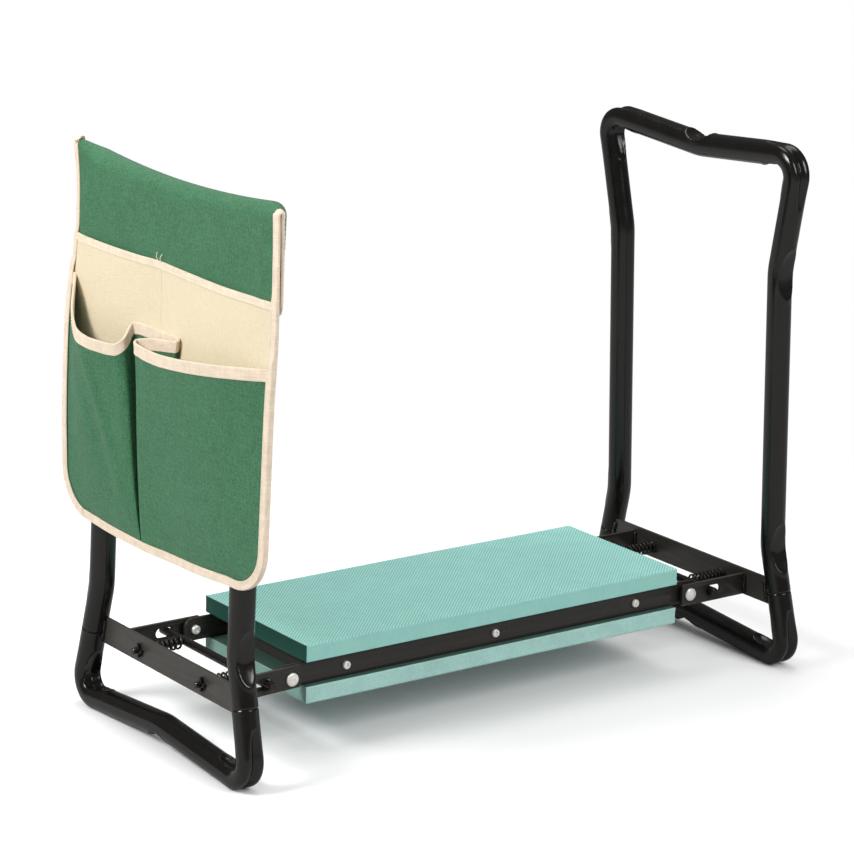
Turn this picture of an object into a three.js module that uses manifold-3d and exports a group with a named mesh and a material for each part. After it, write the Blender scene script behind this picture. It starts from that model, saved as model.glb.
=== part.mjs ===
// Folding garden kneeler seat: a two-sided foam seat carried between two bent-tube end frames.
// Each end frame is hinged to the seat rails and held open by a sprung lock rod; a tool bag
// hangs over the left handle.
//
// Millimetres, +Z up. The origin is the centre of the upper pad's top face. +X runs along the
// seat towards the right frame and +Y towards the back.

import * as THREE from "three";
import { mergeVertices } from "three/addons/utils/BufferGeometryUtils.js";
import Module from "manifold-3d";

const wasm = await Module();
wasm.setup();

// ---------------------------------------------------------------- driving dimensions

const SEAT_HEIGHT = 100; // ground to the top of the upper pad
const HANDLE_HEIGHT = 490; // ground to the top of the handles, along the leaning frame
const CLEARANCE = 0.3; // gap left between neighbouring pieces

// seat
const PAD_LENGTH = 402;
const PAD_WIDTH = 158.4;
const PAD_THICKNESS = 15.8;
const PAD_EDGE = 1.2; // chamfer on the foam's edges
const RAIL_HEIGHT = 20.6;
const RAIL_THICKNESS = 3;
const RAIL_HALF_LENGTH = 227;
const RAIL_OUTER_Y = 73.6;
const RAIL_CORNER = 5;
const LIP_REACH = 246; // half length over the stop lips under the lock rods
const LIP_HEIGHT = 5.2;
const END_BAR_X = 181; // centre of each cross bar between the rails
const SCREW_PITCH = 157;
const SCREW_LENGTH = 16;
const SCREW_R = 2;
const SCREW_HEAD_R = 4.6;
const SCREW_HEAD_HEIGHT = 2.2;
const SCREW_POINT = 3; // length of the screw's tapered tip
const RECESS_SPAN = 4.6; // cross recess in a screw head
const RECESS_WIDTH = 1;
const RECESS_DEPTH = 1.3;

// hinges
const PIVOT_X = 216;
const PIVOT_Z = 73;
const RIVET_R = 4;
const RIVET_HEAD_R = 5.8;
const RIVET_HEAD_HEIGHT = 2.2;
const HEAD_EDGE = 0.8; // chamfer on rivet heads
const WASHER_R = 7.5;
const HOLE_PLAY = 0.35; // radial play of a hole round its pin

// end frames
const TUBE_R = 11;
const TUBE_WALL = 1.5;
const LEAN = 0.035; // radians; each loop leans inwards towards its handle
const LOOP_X_AT_GROUND = 290.5;
const HANDLE_CORNER_Y = 132.5;
const FOOT_CORNER_Y = 136;
const WAIST_Y = 110; // half width of the loop at its waist
const UPPER_KINK_Z = 372;
const LOWER_KINK_Z = 112;
const HANDLE_DIP = 10.5;
const FOOT_PEAK = 7.8;
const CORNER_BEND = 30;
const KINK_BEND = 60;
const DIP_BEND = 70;
const SEAM_Z = 74; // joint between the handle tube and the foot tube
const SPIGOT_LENGTH = 28;
const SPIGOT_R = 8.4;
const SPIGOT_WALL = 1.4;
const SPIGOT_COLLAR = 4; // length of the collar inside the foot tube

// cross plate, arms and lock
const PLATE_OUTER_X = 284.5;
const PLATE_THICKNESS = 3;
const PLATE_BOTTOM = 62;
const PLATE_HEIGHT = 23.7;
const ARM_OUTER_Y = 80.4;
const ARM_THICKNESS = 3;
const ARM_HEIGHT = 20;
const ARM_BOTTOM = 62.6;
const ARM_END_X = 207;
const ARM_CORNER = 4;
const SLOT_INNER_X = 235.6;
const SLOT_OUTER_X = 252;
const SLOT_HEIGHT = 9;
const LOCK_ROD_R = 3.75;
const LOCK_ROD_X = 239.8;
const LOCK_ROD_OVERHANG = 7; // how far each rod end stands out of its arm
const GUIDE_PIN_Y = 50;
const GUIDE_PIN_R = 2.7;
const GUIDE_PIN_STUB = 7.5; // how far each guide pin stands out of the plate
const WING_SPAN = 10.5; // staked cross on the pin's outer end
const WING_WIDTH = 2.4;
const WING_DEPTH = 2.6;
const SPRING_MEAN_R = 5.3;
const SPRING_WIRE_R = 0.95;
const SPRING_TURNS = 7;

// tool bag
const BAG_HALF_WIDTH = 158;
const BAG_BOTTOM = 178;
const BAG_CLOTH = 1.6;
const BAG_FLAP_BOTTOM = 404;
const BAG_LINER_TOP = 417;
const BAG_LINER_DEPTH = 5;
const POCKET_TOP = 352;
const POCKET_DEPTH = 11;
const POCKET_SEAM_Y = 9;
const BINDING_HEIGHT = 10;
const BINDING_DEPTH = 2.4;
const POUCH_TAPER = 0.8; // how far a pouch's sides lean in, per unit of its depth
const SEAM_GAP = 1; // sewn margin round the lower pockets
const FASTENER_HEIGHT = 20;
const FASTENER_DEPTH = 1.2;
const FASTENER_HALF_WIDTH = 79;
const FASTENER_INSET = 4; // from the flap's lower edge

// facets
const TUBE_FACETS = 14;
const BORE_FACETS = 8;
const ROUND_FACETS = 16;
const WIRE_FACETS = 5;
const FACETS_PER_TURN = 8;
const SMALL_FACETS = 14;
const DEGREES_PER_STATION = 16; // bend covered by each step of a swept tube
const TOOL_OVERRUN = 20; // how far cutting tools run past what they cut

// ---------------------------------------------------------------- materials

const blackCoat = { color: 0x1b1918, roughness: 0.32, metalness: 0.55 };
const zinc = { color: 0xc9c6bd, roughness: 0.35, metalness: 0.9 };
const springSteel = { color: 0x2a2826, roughness: 0.3, metalness: 0.85 };
const mintFoam = { color: 0x93d3c5, roughness: 0.85, metalness: 0 };
const blackBoard = { color: 0x22211f, roughness: 0.7, metalness: 0 };
const greenCloth = { color: 0x3a7452, roughness: 0.9, metalness: 0 };
const creamCloth = { color: 0xe8dcb9, roughness: 0.9, metalness: 0 };
const bindingTape = { color: 0xf0d7be, roughness: 0.85, metalness: 0 };

// ---------------------------------------------------------------- solids

function toSolid(geometry) {
  const bare = new THREE.BufferGeometry();
  const source = geometry.index ? geometry.toNonIndexed() : geometry;
  bare.setAttribute("position", source.getAttribute("position").clone());
  const merged = mergeVertices(bare, 1e-3);
  return new wasm.Manifold(
    new wasm.Mesh({
      numProp: 3,
      vertProperties: new Float32Array(merged.attributes.position.array),
      triVerts: new Uint32Array(merged.index.array),
    }),
  );
}

function toGeometry(solid) {
  const mesh = solid.getMesh();
  const geometry = new THREE.BufferGeometry();
  geometry.setAttribute("position", new THREE.BufferAttribute(mesh.vertProperties, 3));
  geometry.setIndex(new THREE.BufferAttribute(mesh.triVerts, 1));
  geometry.computeVertexNormals();
  return geometry;
}

function cut(geometry, ...tools) {
  const left = tools.reduce((solid, tool) => solid.subtract(toSolid(tool)), toSolid(geometry));
  return toGeometry(left);
}

function join(...geometries) {
  const whole = geometries.map(toSolid).reduce((solid, next) => solid.add(next));
  return toGeometry(whole);
}

function box(xMin, xMax, yMin, yMax, zMin, zMax) {
  const geometry = new THREE.BoxGeometry(xMax - xMin, yMax - yMin, zMax - zMin);
  return geometry.translate((xMin + xMax) / 2, (yMin + yMax) / 2, (zMin + zMax) / 2);
}

// A round bar along Y, between two Y values.
function barAlongY(radius, x, z, yMin, yMax, facets = ROUND_FACETS) {
  const geometry = new THREE.CylinderGeometry(radius, radius, yMax - yMin, facets);
  return geometry.translate(x, (yMin + yMax) / 2, z);
}

// A round bar along X, between two X values.
function barAlongX(radius, y, z, xMin, xMax, facets = ROUND_FACETS) {
  const geometry = new THREE.CylinderGeometry(radius, radius, xMax - xMin, facets);
  return geometry.rotateZ(Math.PI / 2).translate((xMin + xMax) / 2, y, z);
}

function piece(name, geometry, finish) {
  const mesh = new THREE.Mesh(geometry, new THREE.MeshStandardMaterial(finish));
  mesh.name = name;
  return mesh;
}

// An XZ outline given as a THREE.Shape (its x and y), extruded along Y between two Y values.
function plateInXZ(shape, yMin, yMax) {
  const geometry = new THREE.ExtrudeGeometry(shape, {
    depth: yMax - yMin,
    bevelEnabled: false,
    curveSegments: 5,
  });
  return geometry.rotateX(Math.PI / 2).translate(0, yMax, 0);
}

// ---------------------------------------------------------------- bent tubes

// A polyline whose parameter counts stations evenly, so that an extrusion puts one ring of
// vertices at each point.
class StationCurve extends THREE.Curve {
  constructor(stations) {
    super();
    this.stations = stations;
  }

  get steps() {
    return this.stations.length - 1;
  }

  getPoint(t) {
    const place = t * this.steps;
    const index = Math.min(Math.floor(place + 1e-9), this.steps - 1);
    return this.stations[index].clone().lerp(this.stations[index + 1], place - index);
  }

  getTangent(t) {
    const index = Math.round(t * this.steps);
    const before = this.stations[Math.max(index - 1, 0)];
    const after = this.stations[Math.min(index + 1, this.steps)];
    return after.clone().sub(before).normalize();
  }

  getPointAt(u) {
    return this.getPoint(u);
  }

  getTangentAt(u) {
    return this.getTangent(u);
  }
}

// Rounds the corners of a planar chain of points: each corner is [y, z, bend radius] and
// becomes a circular arc with evenly spread stations.
function bendStations(corners) {
  const point = ([y, z]) => new THREE.Vector2(y, z);
  const stations = [point(corners[0])];
  for (let i = 1; i < corners.length - 1; i += 1) {
    const here = point(corners[i]);
    const towards = point(corners[i - 1]).sub(here).normalize();
    const onwards = point(corners[i + 1]).sub(here).normalize();
    const turn = Math.PI - Math.acos(towards.dot(onwards));
    const radius = corners[i][2];
    const tangentLength = radius * Math.tan(turn / 2);
    const bisector = towards.clone().add(onwards).normalize();
    const centre = here.clone().addScaledVector(bisector, radius / Math.cos(turn / 2));
    const start = here.clone().addScaledVector(towards, tangentLength).sub(centre);
    const end = here.clone().addScaledVector(onwards, tangentLength).sub(centre);
    const side = Math.sign(start.cross(end));
    const count = Math.max(2, Math.ceil(THREE.MathUtils.radToDeg(turn) / DEGREES_PER_STATION));
    for (let k = 0; k <= count; k += 1) {
      const arm = start.clone().rotateAround(new THREE.Vector2(), (side * turn * k) / count);
      stations.push(arm.add(centre));
    }
  }
  stations.push(point(corners[corners.length - 1]));
  return stations;
}

function ring(radius, facets) {
  const points = [];
  for (let i = 0; i < facets; i += 1) {
    const angle = (2 * Math.PI * (i + 0.5)) / facets;
    points.push(new THREE.Vector2(radius * Math.cos(angle), radius * Math.sin(angle)));
  }
  return points;
}

function sweep(stations, outerR, innerR, facets) {
  const section = new THREE.Shape(ring(outerR, facets));
  if (innerR > 0) {
    section.holes.push(new THREE.Path(ring(innerR, BORE_FACETS)));
  }
  const path = new StationCurve(stations);
  return new THREE.ExtrudeGeometry(section, { steps: path.steps, extrudePath: path });
}

// Stations in the loop's plane become 3-D points at x = 0.
function inLoopPlane(stations) {
  return stations.map((p) => new THREE.Vector3(0, p.x, p.y));
}

// The leg runs straight from the foot's bend to the lower kink; this is its y at a height.
function legY(z) {
  const share = (z - TUBE_R) / (LOWER_KINK_Z - TUBE_R);
  return FOOT_CORNER_Y + (WAIST_Y - FOOT_CORNER_Y) * share;
}

const HANDLE_TOP_Z = HANDLE_HEIGHT - TUBE_R;

function handlePath() {
  return bendStations([
    [-legY(SEAM_Z), SEAM_Z],
    [-WAIST_Y, LOWER_KINK_Z, KINK_BEND],
    [-WAIST_Y, UPPER_KINK_Z, KINK_BEND],
    [-HANDLE_CORNER_Y, HANDLE_TOP_Z, CORNER_BEND],
    [0, HANDLE_TOP_Z - HANDLE_DIP, DIP_BEND],
    [HANDLE_CORNER_Y, HANDLE_TOP_Z, CORNER_BEND],
    [WAIST_Y, UPPER_KINK_Z, KINK_BEND],
    [WAIST_Y, LOWER_KINK_Z, KINK_BEND],
    [legY(SEAM_Z), SEAM_Z],
  ]);
}

function footPath() {
  const top = SEAM_Z - CLEARANCE;
  return bendStations([
    [-legY(top), top],
    [-FOOT_CORNER_Y, TUBE_R, CORNER_BEND],
    [0, TUBE_R + FOOT_PEAK, DIP_BEND],
    [FOOT_CORNER_Y, TUBE_R, CORNER_BEND],
    [legY(top), top],
  ]);
}

function handleTube() {
  return sweep(inLoopPlane(handlePath()), TUBE_R, TUBE_R - TUBE_WALL, TUBE_FACETS);
}

// The narrowed end of the foot tube that plugs into the handle tube: a thin sleeve on a collar
// that sits inside the foot tube's wall.
function spigot(side) {
  const collarR = TUBE_R - TUBE_WALL / 2;
  const innerR = SPIGOT_R - SPIGOT_WALL;
  const profile = [
    [innerR, -SPIGOT_COLLAR],
    [collarR, -SPIGOT_COLLAR],
    [collarR, -CLEARANCE],
    [SPIGOT_R, 0],
    [SPIGOT_R, SPIGOT_LENGTH],
    [innerR, SPIGOT_LENGTH],
    [innerR, -SPIGOT_COLLAR],
  ].map(([r, z]) => new THREE.Vector2(r, z));
  const seam = SEAM_Z - CLEARANCE;
  const slope = Math.atan2(FOOT_CORNER_Y - WAIST_Y, LOWER_KINK_Z - TUBE_R);
  return new THREE.LatheGeometry(profile, ROUND_FACETS)
    .rotateX(Math.PI / 2)
    .rotateX(side * slope)
    .translate(0, side * legY(seam), seam);
}

function footTube() {
  const bend = sweep(inLoopPlane(footPath()), TUBE_R, TUBE_R - TUBE_WALL, TUBE_FACETS);
  return join(bend, spigot(-1), spigot(1));
}

// ---------------------------------------------------------------- cross plate, arms and lock

// The left end frame is modelled at negative x; the right one is the same turned half round.
// The lock works at the hinge's own height.
const lockZ = PIVOT_Z;

// A leg as a straight bar a little thicker than the tube, used to cope the plate's ends.
function legClearance(side) {
  const low = PLATE_BOTTOM - TOOL_OVERRUN;
  const high = PLATE_BOTTOM + PLATE_HEIGHT + TOOL_OVERRUN;
  const axis = [low, high].map((z) => new THREE.Vector3(0, side * legY(z), z));
  const bar = sweep(axis, TUBE_R + CLEARANCE, 0, TUBE_FACETS);
  return bar.rotateY(LEAN).translate(-LOOP_X_AT_GROUND, 0, 0);
}

function crossPlate() {
  const halfLength = legY(PLATE_BOTTOM);
  const inner = -(PLATE_OUTER_X - PLATE_THICKNESS);
  const top = PLATE_BOTTOM + PLATE_HEIGHT;
  const blank = box(-PLATE_OUTER_X, inner, -halfLength, halfLength, PLATE_BOTTOM, top);
  const [drillStart, drillEnd] = [-PLATE_OUTER_X - TOOL_OVERRUN, inner + TOOL_OVERRUN];
  const holes = [-1, 1].map((side) =>
    barAlongX(GUIDE_PIN_R + HOLE_PLAY, side * GUIDE_PIN_Y, lockZ, drillStart, drillEnd),
  );
  const coped = toSolid(cut(blank, legClearance(-1), legClearance(1), ...holes));
  // Coping leaves slivers outside the legs; the plate is the middle piece.
  const bodies = coped.decompose();
  return toGeometry(bodies.reduce((a, b) => (a.volume() > b.volume() ? a : b)));
}

function roundedBar(xMin, xMax, zMin, zMax, innerCorner) {
  const shape = new THREE.Shape();
  shape.moveTo(xMin, zMin);
  shape.lineTo(xMax - innerCorner, zMin);
  shape.absarc(xMax - innerCorner, zMin + innerCorner, innerCorner, -Math.PI / 2, 0);
  shape.lineTo(xMax, zMax - innerCorner);
  shape.absarc(xMax - innerCorner, zMax - innerCorner, innerCorner, 0, Math.PI / 2);
  shape.lineTo(xMin, zMax);
  shape.closePath();
  return shape;
}

function circleHole(x, z, radius) {
  const hole = new THREE.Path();
  hole.absarc(x, z, radius, 0, 2 * Math.PI, true);
  return hole;
}

function lockSlot() {
  const r = SLOT_HEIGHT / 2;
  const hole = new THREE.Path();
  hole.absarc(-SLOT_INNER_X - r, lockZ, r, Math.PI / 2, -Math.PI / 2, true);
  hole.absarc(-SLOT_OUTER_X + r, lockZ, r, -Math.PI / 2, -Math.PI * 1.5, true);
  hole.closePath();
  return hole;
}

function arm(side) {
  const inner = -(PLATE_OUTER_X - PLATE_THICKNESS - CLEARANCE);
  const top = ARM_BOTTOM + ARM_HEIGHT;
  const shape = roundedBar(inner, -ARM_END_X, ARM_BOTTOM, top, ARM_CORNER);
  shape.holes.push(circleHole(-PIVOT_X, PIVOT_Z, RIVET_R + HOLE_PLAY));
  shape.holes.push(lockSlot());
  const near = ARM_OUTER_Y - ARM_THICKNESS;
  return side < 0
    ? plateInXZ(shape, -ARM_OUTER_Y, -near)
    : plateInXZ(shape, near, ARM_OUTER_Y);
}

function lockRod() {
  const end = ARM_OUTER_Y + LOCK_ROD_OVERHANG;
  return barAlongY(LOCK_ROD_R, -LOCK_ROD_X, lockZ, -end, end);
}

// A guide pin butts against the lock rod, runs through its spring and the plate, and is staked
// into a cross outside the plate so that it can't pull back through.
function guidePin(side) {
  const y = side * GUIDE_PIN_Y;
  const inner = -(LOCK_ROD_X + LOCK_ROD_R + CLEARANCE);
  const crossStart = -(PLATE_OUTER_X + CLEARANCE);
  const crossEnd = crossStart - WING_DEPTH;
  const half = WING_SPAN / 2;
  const thin = WING_WIDTH / 2;
  return join(
    barAlongX(GUIDE_PIN_R, y, lockZ, -(PLATE_OUTER_X + GUIDE_PIN_STUB), inner, SMALL_FACETS),
    box(crossEnd, crossStart, y - half, y + half, lockZ - thin, lockZ + thin),
    box(crossEnd, crossStart, y - thin, y + thin, lockZ - half, lockZ + half),
  );
}

function springPoint(share, y) {
  const start = LOCK_ROD_X + LOCK_ROD_R + SPRING_WIRE_R + CLEARANCE;
  const end = PLATE_OUTER_X - PLATE_THICKNESS - SPRING_WIRE_R - CLEARANCE;
  const angle = 2 * Math.PI * SPRING_TURNS * share;
  return new THREE.Vector3(
    -(start + (end - start) * share),
    y + SPRING_MEAN_R * Math.cos(angle),
    lockZ + SPRING_MEAN_R * Math.sin(angle),
  );
}

function spring(side) {
  const count = SPRING_TURNS * FACETS_PER_TURN;
  const stations = [];
  for (let i = 0; i <= count; i += 1) {
    stations.push(springPoint(i / count, side * GUIDE_PIN_Y));
  }
  return sweep(stations, SPRING_WIRE_R, 0, WIRE_FACETS);
}

// ---------------------------------------------------------------- seat

const padBottom = SEAT_HEIGHT - PAD_THICKNESS;
const railTop = padBottom - CLEARANCE;
const railBottom = railTop - RAIL_HEIGHT;
const railInnerY = RAIL_OUTER_Y - RAIL_THICKNESS;
const endBarX = [END_BAR_X - RAIL_THICKNESS / 2, END_BAR_X + RAIL_THICKNESS / 2];

function pad(zMin) {
  const halfX = PAD_LENGTH / 2 - PAD_EDGE;
  const halfY = PAD_WIDTH / 2 - PAD_EDGE;
  const outline = new THREE.Shape();
  outline.moveTo(-halfX, -halfY);
  outline.lineTo(halfX, -halfY);
  outline.lineTo(halfX, halfY);
  outline.lineTo(-halfX, halfY);
  outline.closePath();
  const geometry = new THREE.ExtrudeGeometry(outline, {
    depth: PAD_THICKNESS - 2 * PAD_EDGE,
    bevelThickness: PAD_EDGE,
    bevelSize: PAD_EDGE,
    bevelSegments: 1,
  });
  return geometry.translate(0, 0, zMin + PAD_EDGE);
}

function screwHole(x, side) {
  const inner = side * (RAIL_OUTER_Y - SCREW_LENGTH - CLEARANCE);
  const outer = side * (RAIL_OUTER_Y + TOOL_OVERRUN);
  const [low, high] = [Math.min(inner, outer), Math.max(inner, outer)];
  return barAlongY(SCREW_R + HOLE_PLAY, x, PIVOT_Z, low, high, SMALL_FACETS);
}

const screwPlaces = [-SCREW_PITCH, 0, SCREW_PITCH];

function seatBoard() {
  const halfX = endBarX[0] - CLEARANCE;
  const halfY = railInnerY - CLEARANCE;
  const blank = box(-halfX, halfX, -halfY, halfY, railBottom, railTop);
  const holes = [-1, 1].flatMap((side) => screwPlaces.map((x) => screwHole(x, side)));
  return cut(blank, ...holes);
}

// A flat steel rail with rounded ends; below each end a lip reaches under the lock rod and
// stops the frame from opening too far.
function rail(side) {
  const shape = new THREE.Shape();
  const end = RAIL_HALF_LENGTH;
  const r = RAIL_CORNER;
  const lipTop = railBottom + LIP_HEIGHT;
  shape.moveTo(-LIP_REACH, railBottom);
  shape.lineTo(LIP_REACH, railBottom);
  shape.lineTo(LIP_REACH, lipTop);
  shape.lineTo(end, lipTop);
  shape.lineTo(end, railTop - r);
  shape.absarc(end - r, railTop - r, r, 0, Math.PI / 2);
  shape.lineTo(-end + r, railTop);
  shape.absarc(-end + r, railTop - r, r, Math.PI / 2, Math.PI);
  shape.lineTo(-end, lipTop);
  shape.lineTo(-LIP_REACH, lipTop);
  shape.closePath();
  for (const x of [-PIVOT_X, PIVOT_X]) {
    shape.holes.push(circleHole(x, PIVOT_Z, RIVET_R + HOLE_PLAY));
  }
  for (const x of screwPlaces) {
    shape.holes.push(circleHole(x, PIVOT_Z, SCREW_R + HOLE_PLAY));
  }
  return side < 0
    ? plateInXZ(shape, -RAIL_OUTER_Y, -railInnerY)
    : plateInXZ(shape, railInnerY, RAIL_OUTER_Y);
}

function endBar(side) {
  const halfY = railInnerY - CLEARANCE;
  const [near, far] = endBarX;
  return side < 0
    ? box(-far, -near, -halfY, halfY, railBottom, railTop)
    : box(near, far, -halfY, halfY, railBottom, railTop);
}

// Turns a profile of [radius, y] about a line along Y through (x, PIVOT_Z). The profile is that
// of the front piece; side = 1 gives the rear one.
function turnedAlongY(profile, x, side, facets) {
  const points = profile.map(([r, y]) => new THREE.Vector2(r, y));
  const geometry = new THREE.LatheGeometry(points, facets);
  if (side > 0) {
    geometry.rotateX(Math.PI);
  }
  return geometry.translate(x, 0, PIVOT_Z);
}

function rivet(x, side) {
  const headBase = -(ARM_OUTER_Y + CLEARANCE);
  const tailBase = -(railInnerY - CLEARANCE);
  const crown = headBase - RIVET_HEAD_HEIGHT;
  const profile = [
    [0, crown],
    [RIVET_HEAD_R - HEAD_EDGE, crown],
    [RIVET_HEAD_R, crown + HEAD_EDGE],
    [RIVET_HEAD_R, headBase],
    [RIVET_R, headBase],
    [RIVET_R, tailBase],
    [RIVET_HEAD_R, tailBase],
    [RIVET_HEAD_R, tailBase + RIVET_HEAD_HEIGHT],
    [0, tailBase + RIVET_HEAD_HEIGHT],
  ];
  return turnedAlongY(profile, x, side, ROUND_FACETS);
}

function washer(x, side) {
  const bore = RIVET_R + HOLE_PLAY;
  const outer = -(ARM_OUTER_Y - ARM_THICKNESS - CLEARANCE);
  const inner = -(RAIL_OUTER_Y + CLEARANCE);
  const profile = [
    [bore, outer],
    [WASHER_R, outer],
    [WASHER_R, inner],
    [bore, inner],
    [bore, outer],
  ];
  return turnedAlongY(profile, x, side, ROUND_FACETS);
}

// A pan-head screw with a cross recess.
function railScrew(x, side) {
  const base = -(RAIL_OUTER_Y + CLEARANCE);
  const crown = base - SCREW_HEAD_HEIGHT;
  const tip = base + SCREW_LENGTH;
  const profile = [
    [0, crown],
    [SCREW_HEAD_R * 0.6, crown],
    [SCREW_HEAD_R * 0.9, (crown * 2 + base) / 3],
    [SCREW_HEAD_R, base],
    [SCREW_R, base],
    [SCREW_R, tip - SCREW_POINT],
    [0, tip],
  ];
  const blank = turnedAlongY(profile, x, side, SMALL_FACETS);
  const ys = [-crown - RECESS_DEPTH, -crown + TOOL_OVERRUN].map((y) => side * y);
  const [long, short] = [RECESS_SPAN / 2, RECESS_WIDTH / 2];
  const slot = (a, b) =>
    box(x - a, x + a, Math.min(...ys), Math.max(...ys), PIVOT_Z - b, PIVOT_Z + b);
  return cut(blank, slot(long, short), slot(short, long));
}

// ---------------------------------------------------------------- tool bag

// Bag pieces are drawn in the left loop's own plane: x = 0 is the tube's centre line and the
// bag's face is towards -x.
const panelInner = TUBE_R + 0.5;
const panelOuter = panelInner + BAG_CLOTH;
const linerBack = panelOuter + CLEARANCE;
const linerFront = linerBack + BAG_LINER_DEPTH;
const pocketBack = linerFront + CLEARANCE;
const pocketFront = pocketBack + POCKET_DEPTH;

// One cloth that hangs down the outside of the loop, folds over the handle and ends in a short
// flap inside it.
function bagPanel() {
  const shape = new THREE.Shape();
  const top = HANDLE_TOP_Z;
  shape.moveTo(-panelOuter, BAG_BOTTOM);
  shape.lineTo(-panelInner, BAG_BOTTOM);
  shape.lineTo(-panelInner, top);
  shape.absarc(0, top, panelInner, Math.PI, 0, true);
  shape.lineTo(panelInner, BAG_FLAP_BOTTOM);
  shape.lineTo(panelOuter, BAG_FLAP_BOTTOM);
  shape.lineTo(panelOuter, top);
  shape.absarc(0, top, panelOuter, 0, Math.PI);
  shape.closePath();
  return plateInXZ(shape, -BAG_HALF_WIDTH, BAG_HALF_WIDTH);
}

// An open-topped pouch: a block with its outer edges chamfered and a hollow let in from above.
function pouch(yMin, yMax, back, front, zMin, zMax) {
  const taper = (front - back) * POUCH_TAPER;
  const outline = (inset, near, far) => {
    const shape = new THREE.Shape();
    shape.moveTo(-near, yMin + inset);
    shape.lineTo(-far, yMin + inset + taper);
    shape.lineTo(-far, yMax - inset - taper);
    shape.lineTo(-near, yMax - inset);
    shape.closePath();
    return shape;
  };
  const outer = new THREE.ExtrudeGeometry(outline(0, back, front), {
    depth: zMax - zMin,
    bevelEnabled: false,
  }).translate(0, 0, zMin);
  const hollow = outline(2 * BAG_CLOTH, back + BAG_CLOTH, front - BAG_CLOTH);
  const inner = new THREE.ExtrudeGeometry(hollow, {
    depth: zMax - zMin,
    bevelEnabled: false,
  }).translate(0, 0, zMin + BAG_CLOTH);
  return cut(outer, inner);
}

function bagLiner() {
  const half = BAG_HALF_WIDTH - CLEARANCE;
  return pouch(-half, half, linerBack, linerFront, BAG_BOTTOM, BAG_LINER_TOP);
}

function lowerPocket(yMin, yMax) {
  const rim = POCKET_TOP - BINDING_HEIGHT;
  return pouch(yMin, yMax, pocketBack, pocketFront, BAG_BOTTOM + SEAM_GAP, rim);
}

// Tape round the mouth of a lower pocket, standing on the pocket's rim.
function pocketBinding(yMin, yMax) {
  const taper = (pocketFront - pocketBack) * POUCH_TAPER;
  const low = POCKET_TOP - BINDING_HEIGHT + CLEARANCE;
  const back = -pocketFront + BINDING_DEPTH;
  return box(-pocketFront, back, yMin + taper, yMax - taper, low, POCKET_TOP);
}

// Hook-and-loop strip on the inner flap, facing the strip on the panel.
function fastenerStrip(xMin) {
  const half = FASTENER_HALF_WIDTH;
  const low = BAG_FLAP_BOTTOM + FASTENER_INSET;
  return box(xMin, xMin + FASTENER_DEPTH, -half, half, low, low + FASTENER_HEIGHT);
}

// ---------------------------------------------------------------- assembly

function seatGroup() {
  const group = new THREE.Group();
  group.add(piece("upper_pad", pad(padBottom), mintFoam));
  group.add(piece("lower_pad", pad(railBottom - CLEARANCE - PAD_THICKNESS), mintFoam));
  group.add(piece("seat_board", seatBoard(), blackBoard));
  const sides = { front: -1, rear: 1 };
  const ends = { left: -1, right: 1 };
  const screwNames = ["left", "middle", "right"];
  for (const [row, side] of Object.entries(sides)) {
    group.add(piece(`${row}_rail`, rail(side), blackCoat));
    screwPlaces.forEach((x, i) => {
      group.add(piece(`${row}_${screwNames[i]}_rail_screw`, railScrew(x, side), zinc));
    });
    for (const [end, way] of Object.entries(ends)) {
      const x = way * PIVOT_X;
      group.add(piece(`${row}_${end}_hinge_rivet`, rivet(x, side), zinc));
      group.add(piece(`${row}_${end}_hinge_washer`, washer(x, side), blackCoat));
    }
  }
  for (const [end, way] of Object.entries(ends)) {
    group.add(piece(`${end}_end_bar`, endBar(way), blackCoat));
  }
  return group;
}

// Everything of one end frame, modelled at negative x. `sides` names the pieces at -y and +y.
function endFrame(end, sides) {
  const group = new THREE.Group();
  const loop = new THREE.Group();
  loop.position.x = -LOOP_X_AT_GROUND;
  loop.rotation.y = LEAN;
  loop.add(piece(`${end}_handle_tube`, handleTube(), blackCoat));
  loop.add(piece(`${end}_foot_tube`, footTube(), blackCoat));
  group.add(loop);
  group.add(piece(`${end}_cross_plate`, crossPlate(), blackCoat));
  group.add(piece(`${end}_lock_rod`, lockRod(), blackCoat));
  for (const [row, side] of Object.entries(sides)) {
    group.add(piece(`${row}_${end}_arm`, arm(side), blackCoat));
    group.add(piece(`${row}_${end}_guide_pin`, guidePin(side), blackCoat));
    group.add(piece(`${row}_${end}_spring`, spring(side), springSteel));
  }
  return group;
}

function toolBag() {
  const bag = new THREE.Group();
  bag.position.x = -LOOP_X_AT_GROUND;
  bag.rotation.y = LEAN;
  const half = BAG_HALF_WIDTH - SEAM_GAP;
  bag.add(piece("bag_panel", bagPanel(), greenCloth));
  bag.add(piece("bag_upper_pocket", bagLiner(), creamCloth));
  const pockets = {
    front: [-half, POCKET_SEAM_Y - SEAM_GAP],
    rear: [POCKET_SEAM_Y + SEAM_GAP, half],
  };
  for (const [row, [yMin, yMax]] of Object.entries(pockets)) {
    bag.add(piece(`bag_${row}_lower_pocket`, lowerPocket(yMin, yMax), greenCloth));
    bag.add(piece(`bag_${row}_pocket_binding`, pocketBinding(yMin, yMax), bindingTape));
  }
  const hookX = panelInner - CLEARANCE - FASTENER_DEPTH;
  bag.add(piece("bag_hook_strip", fastenerStrip(hookX), blackBoard));
  bag.add(piece("bag_loop_strip", fastenerStrip(-panelInner + CLEARANCE), blackBoard));
  return bag;
}

const kneeler = new THREE.Group();
kneeler.position.z = -SEAT_HEIGHT;
kneeler.add(seatGroup());
kneeler.add(endFrame("left", { front: -1, rear: 1 }));
const rightEnd = endFrame("right", { rear: -1, front: 1 });
rightEnd.rotation.z = Math.PI;
kneeler.add(rightEnd);
kneeler.add(toolBag());

export default kneeler;
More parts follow.
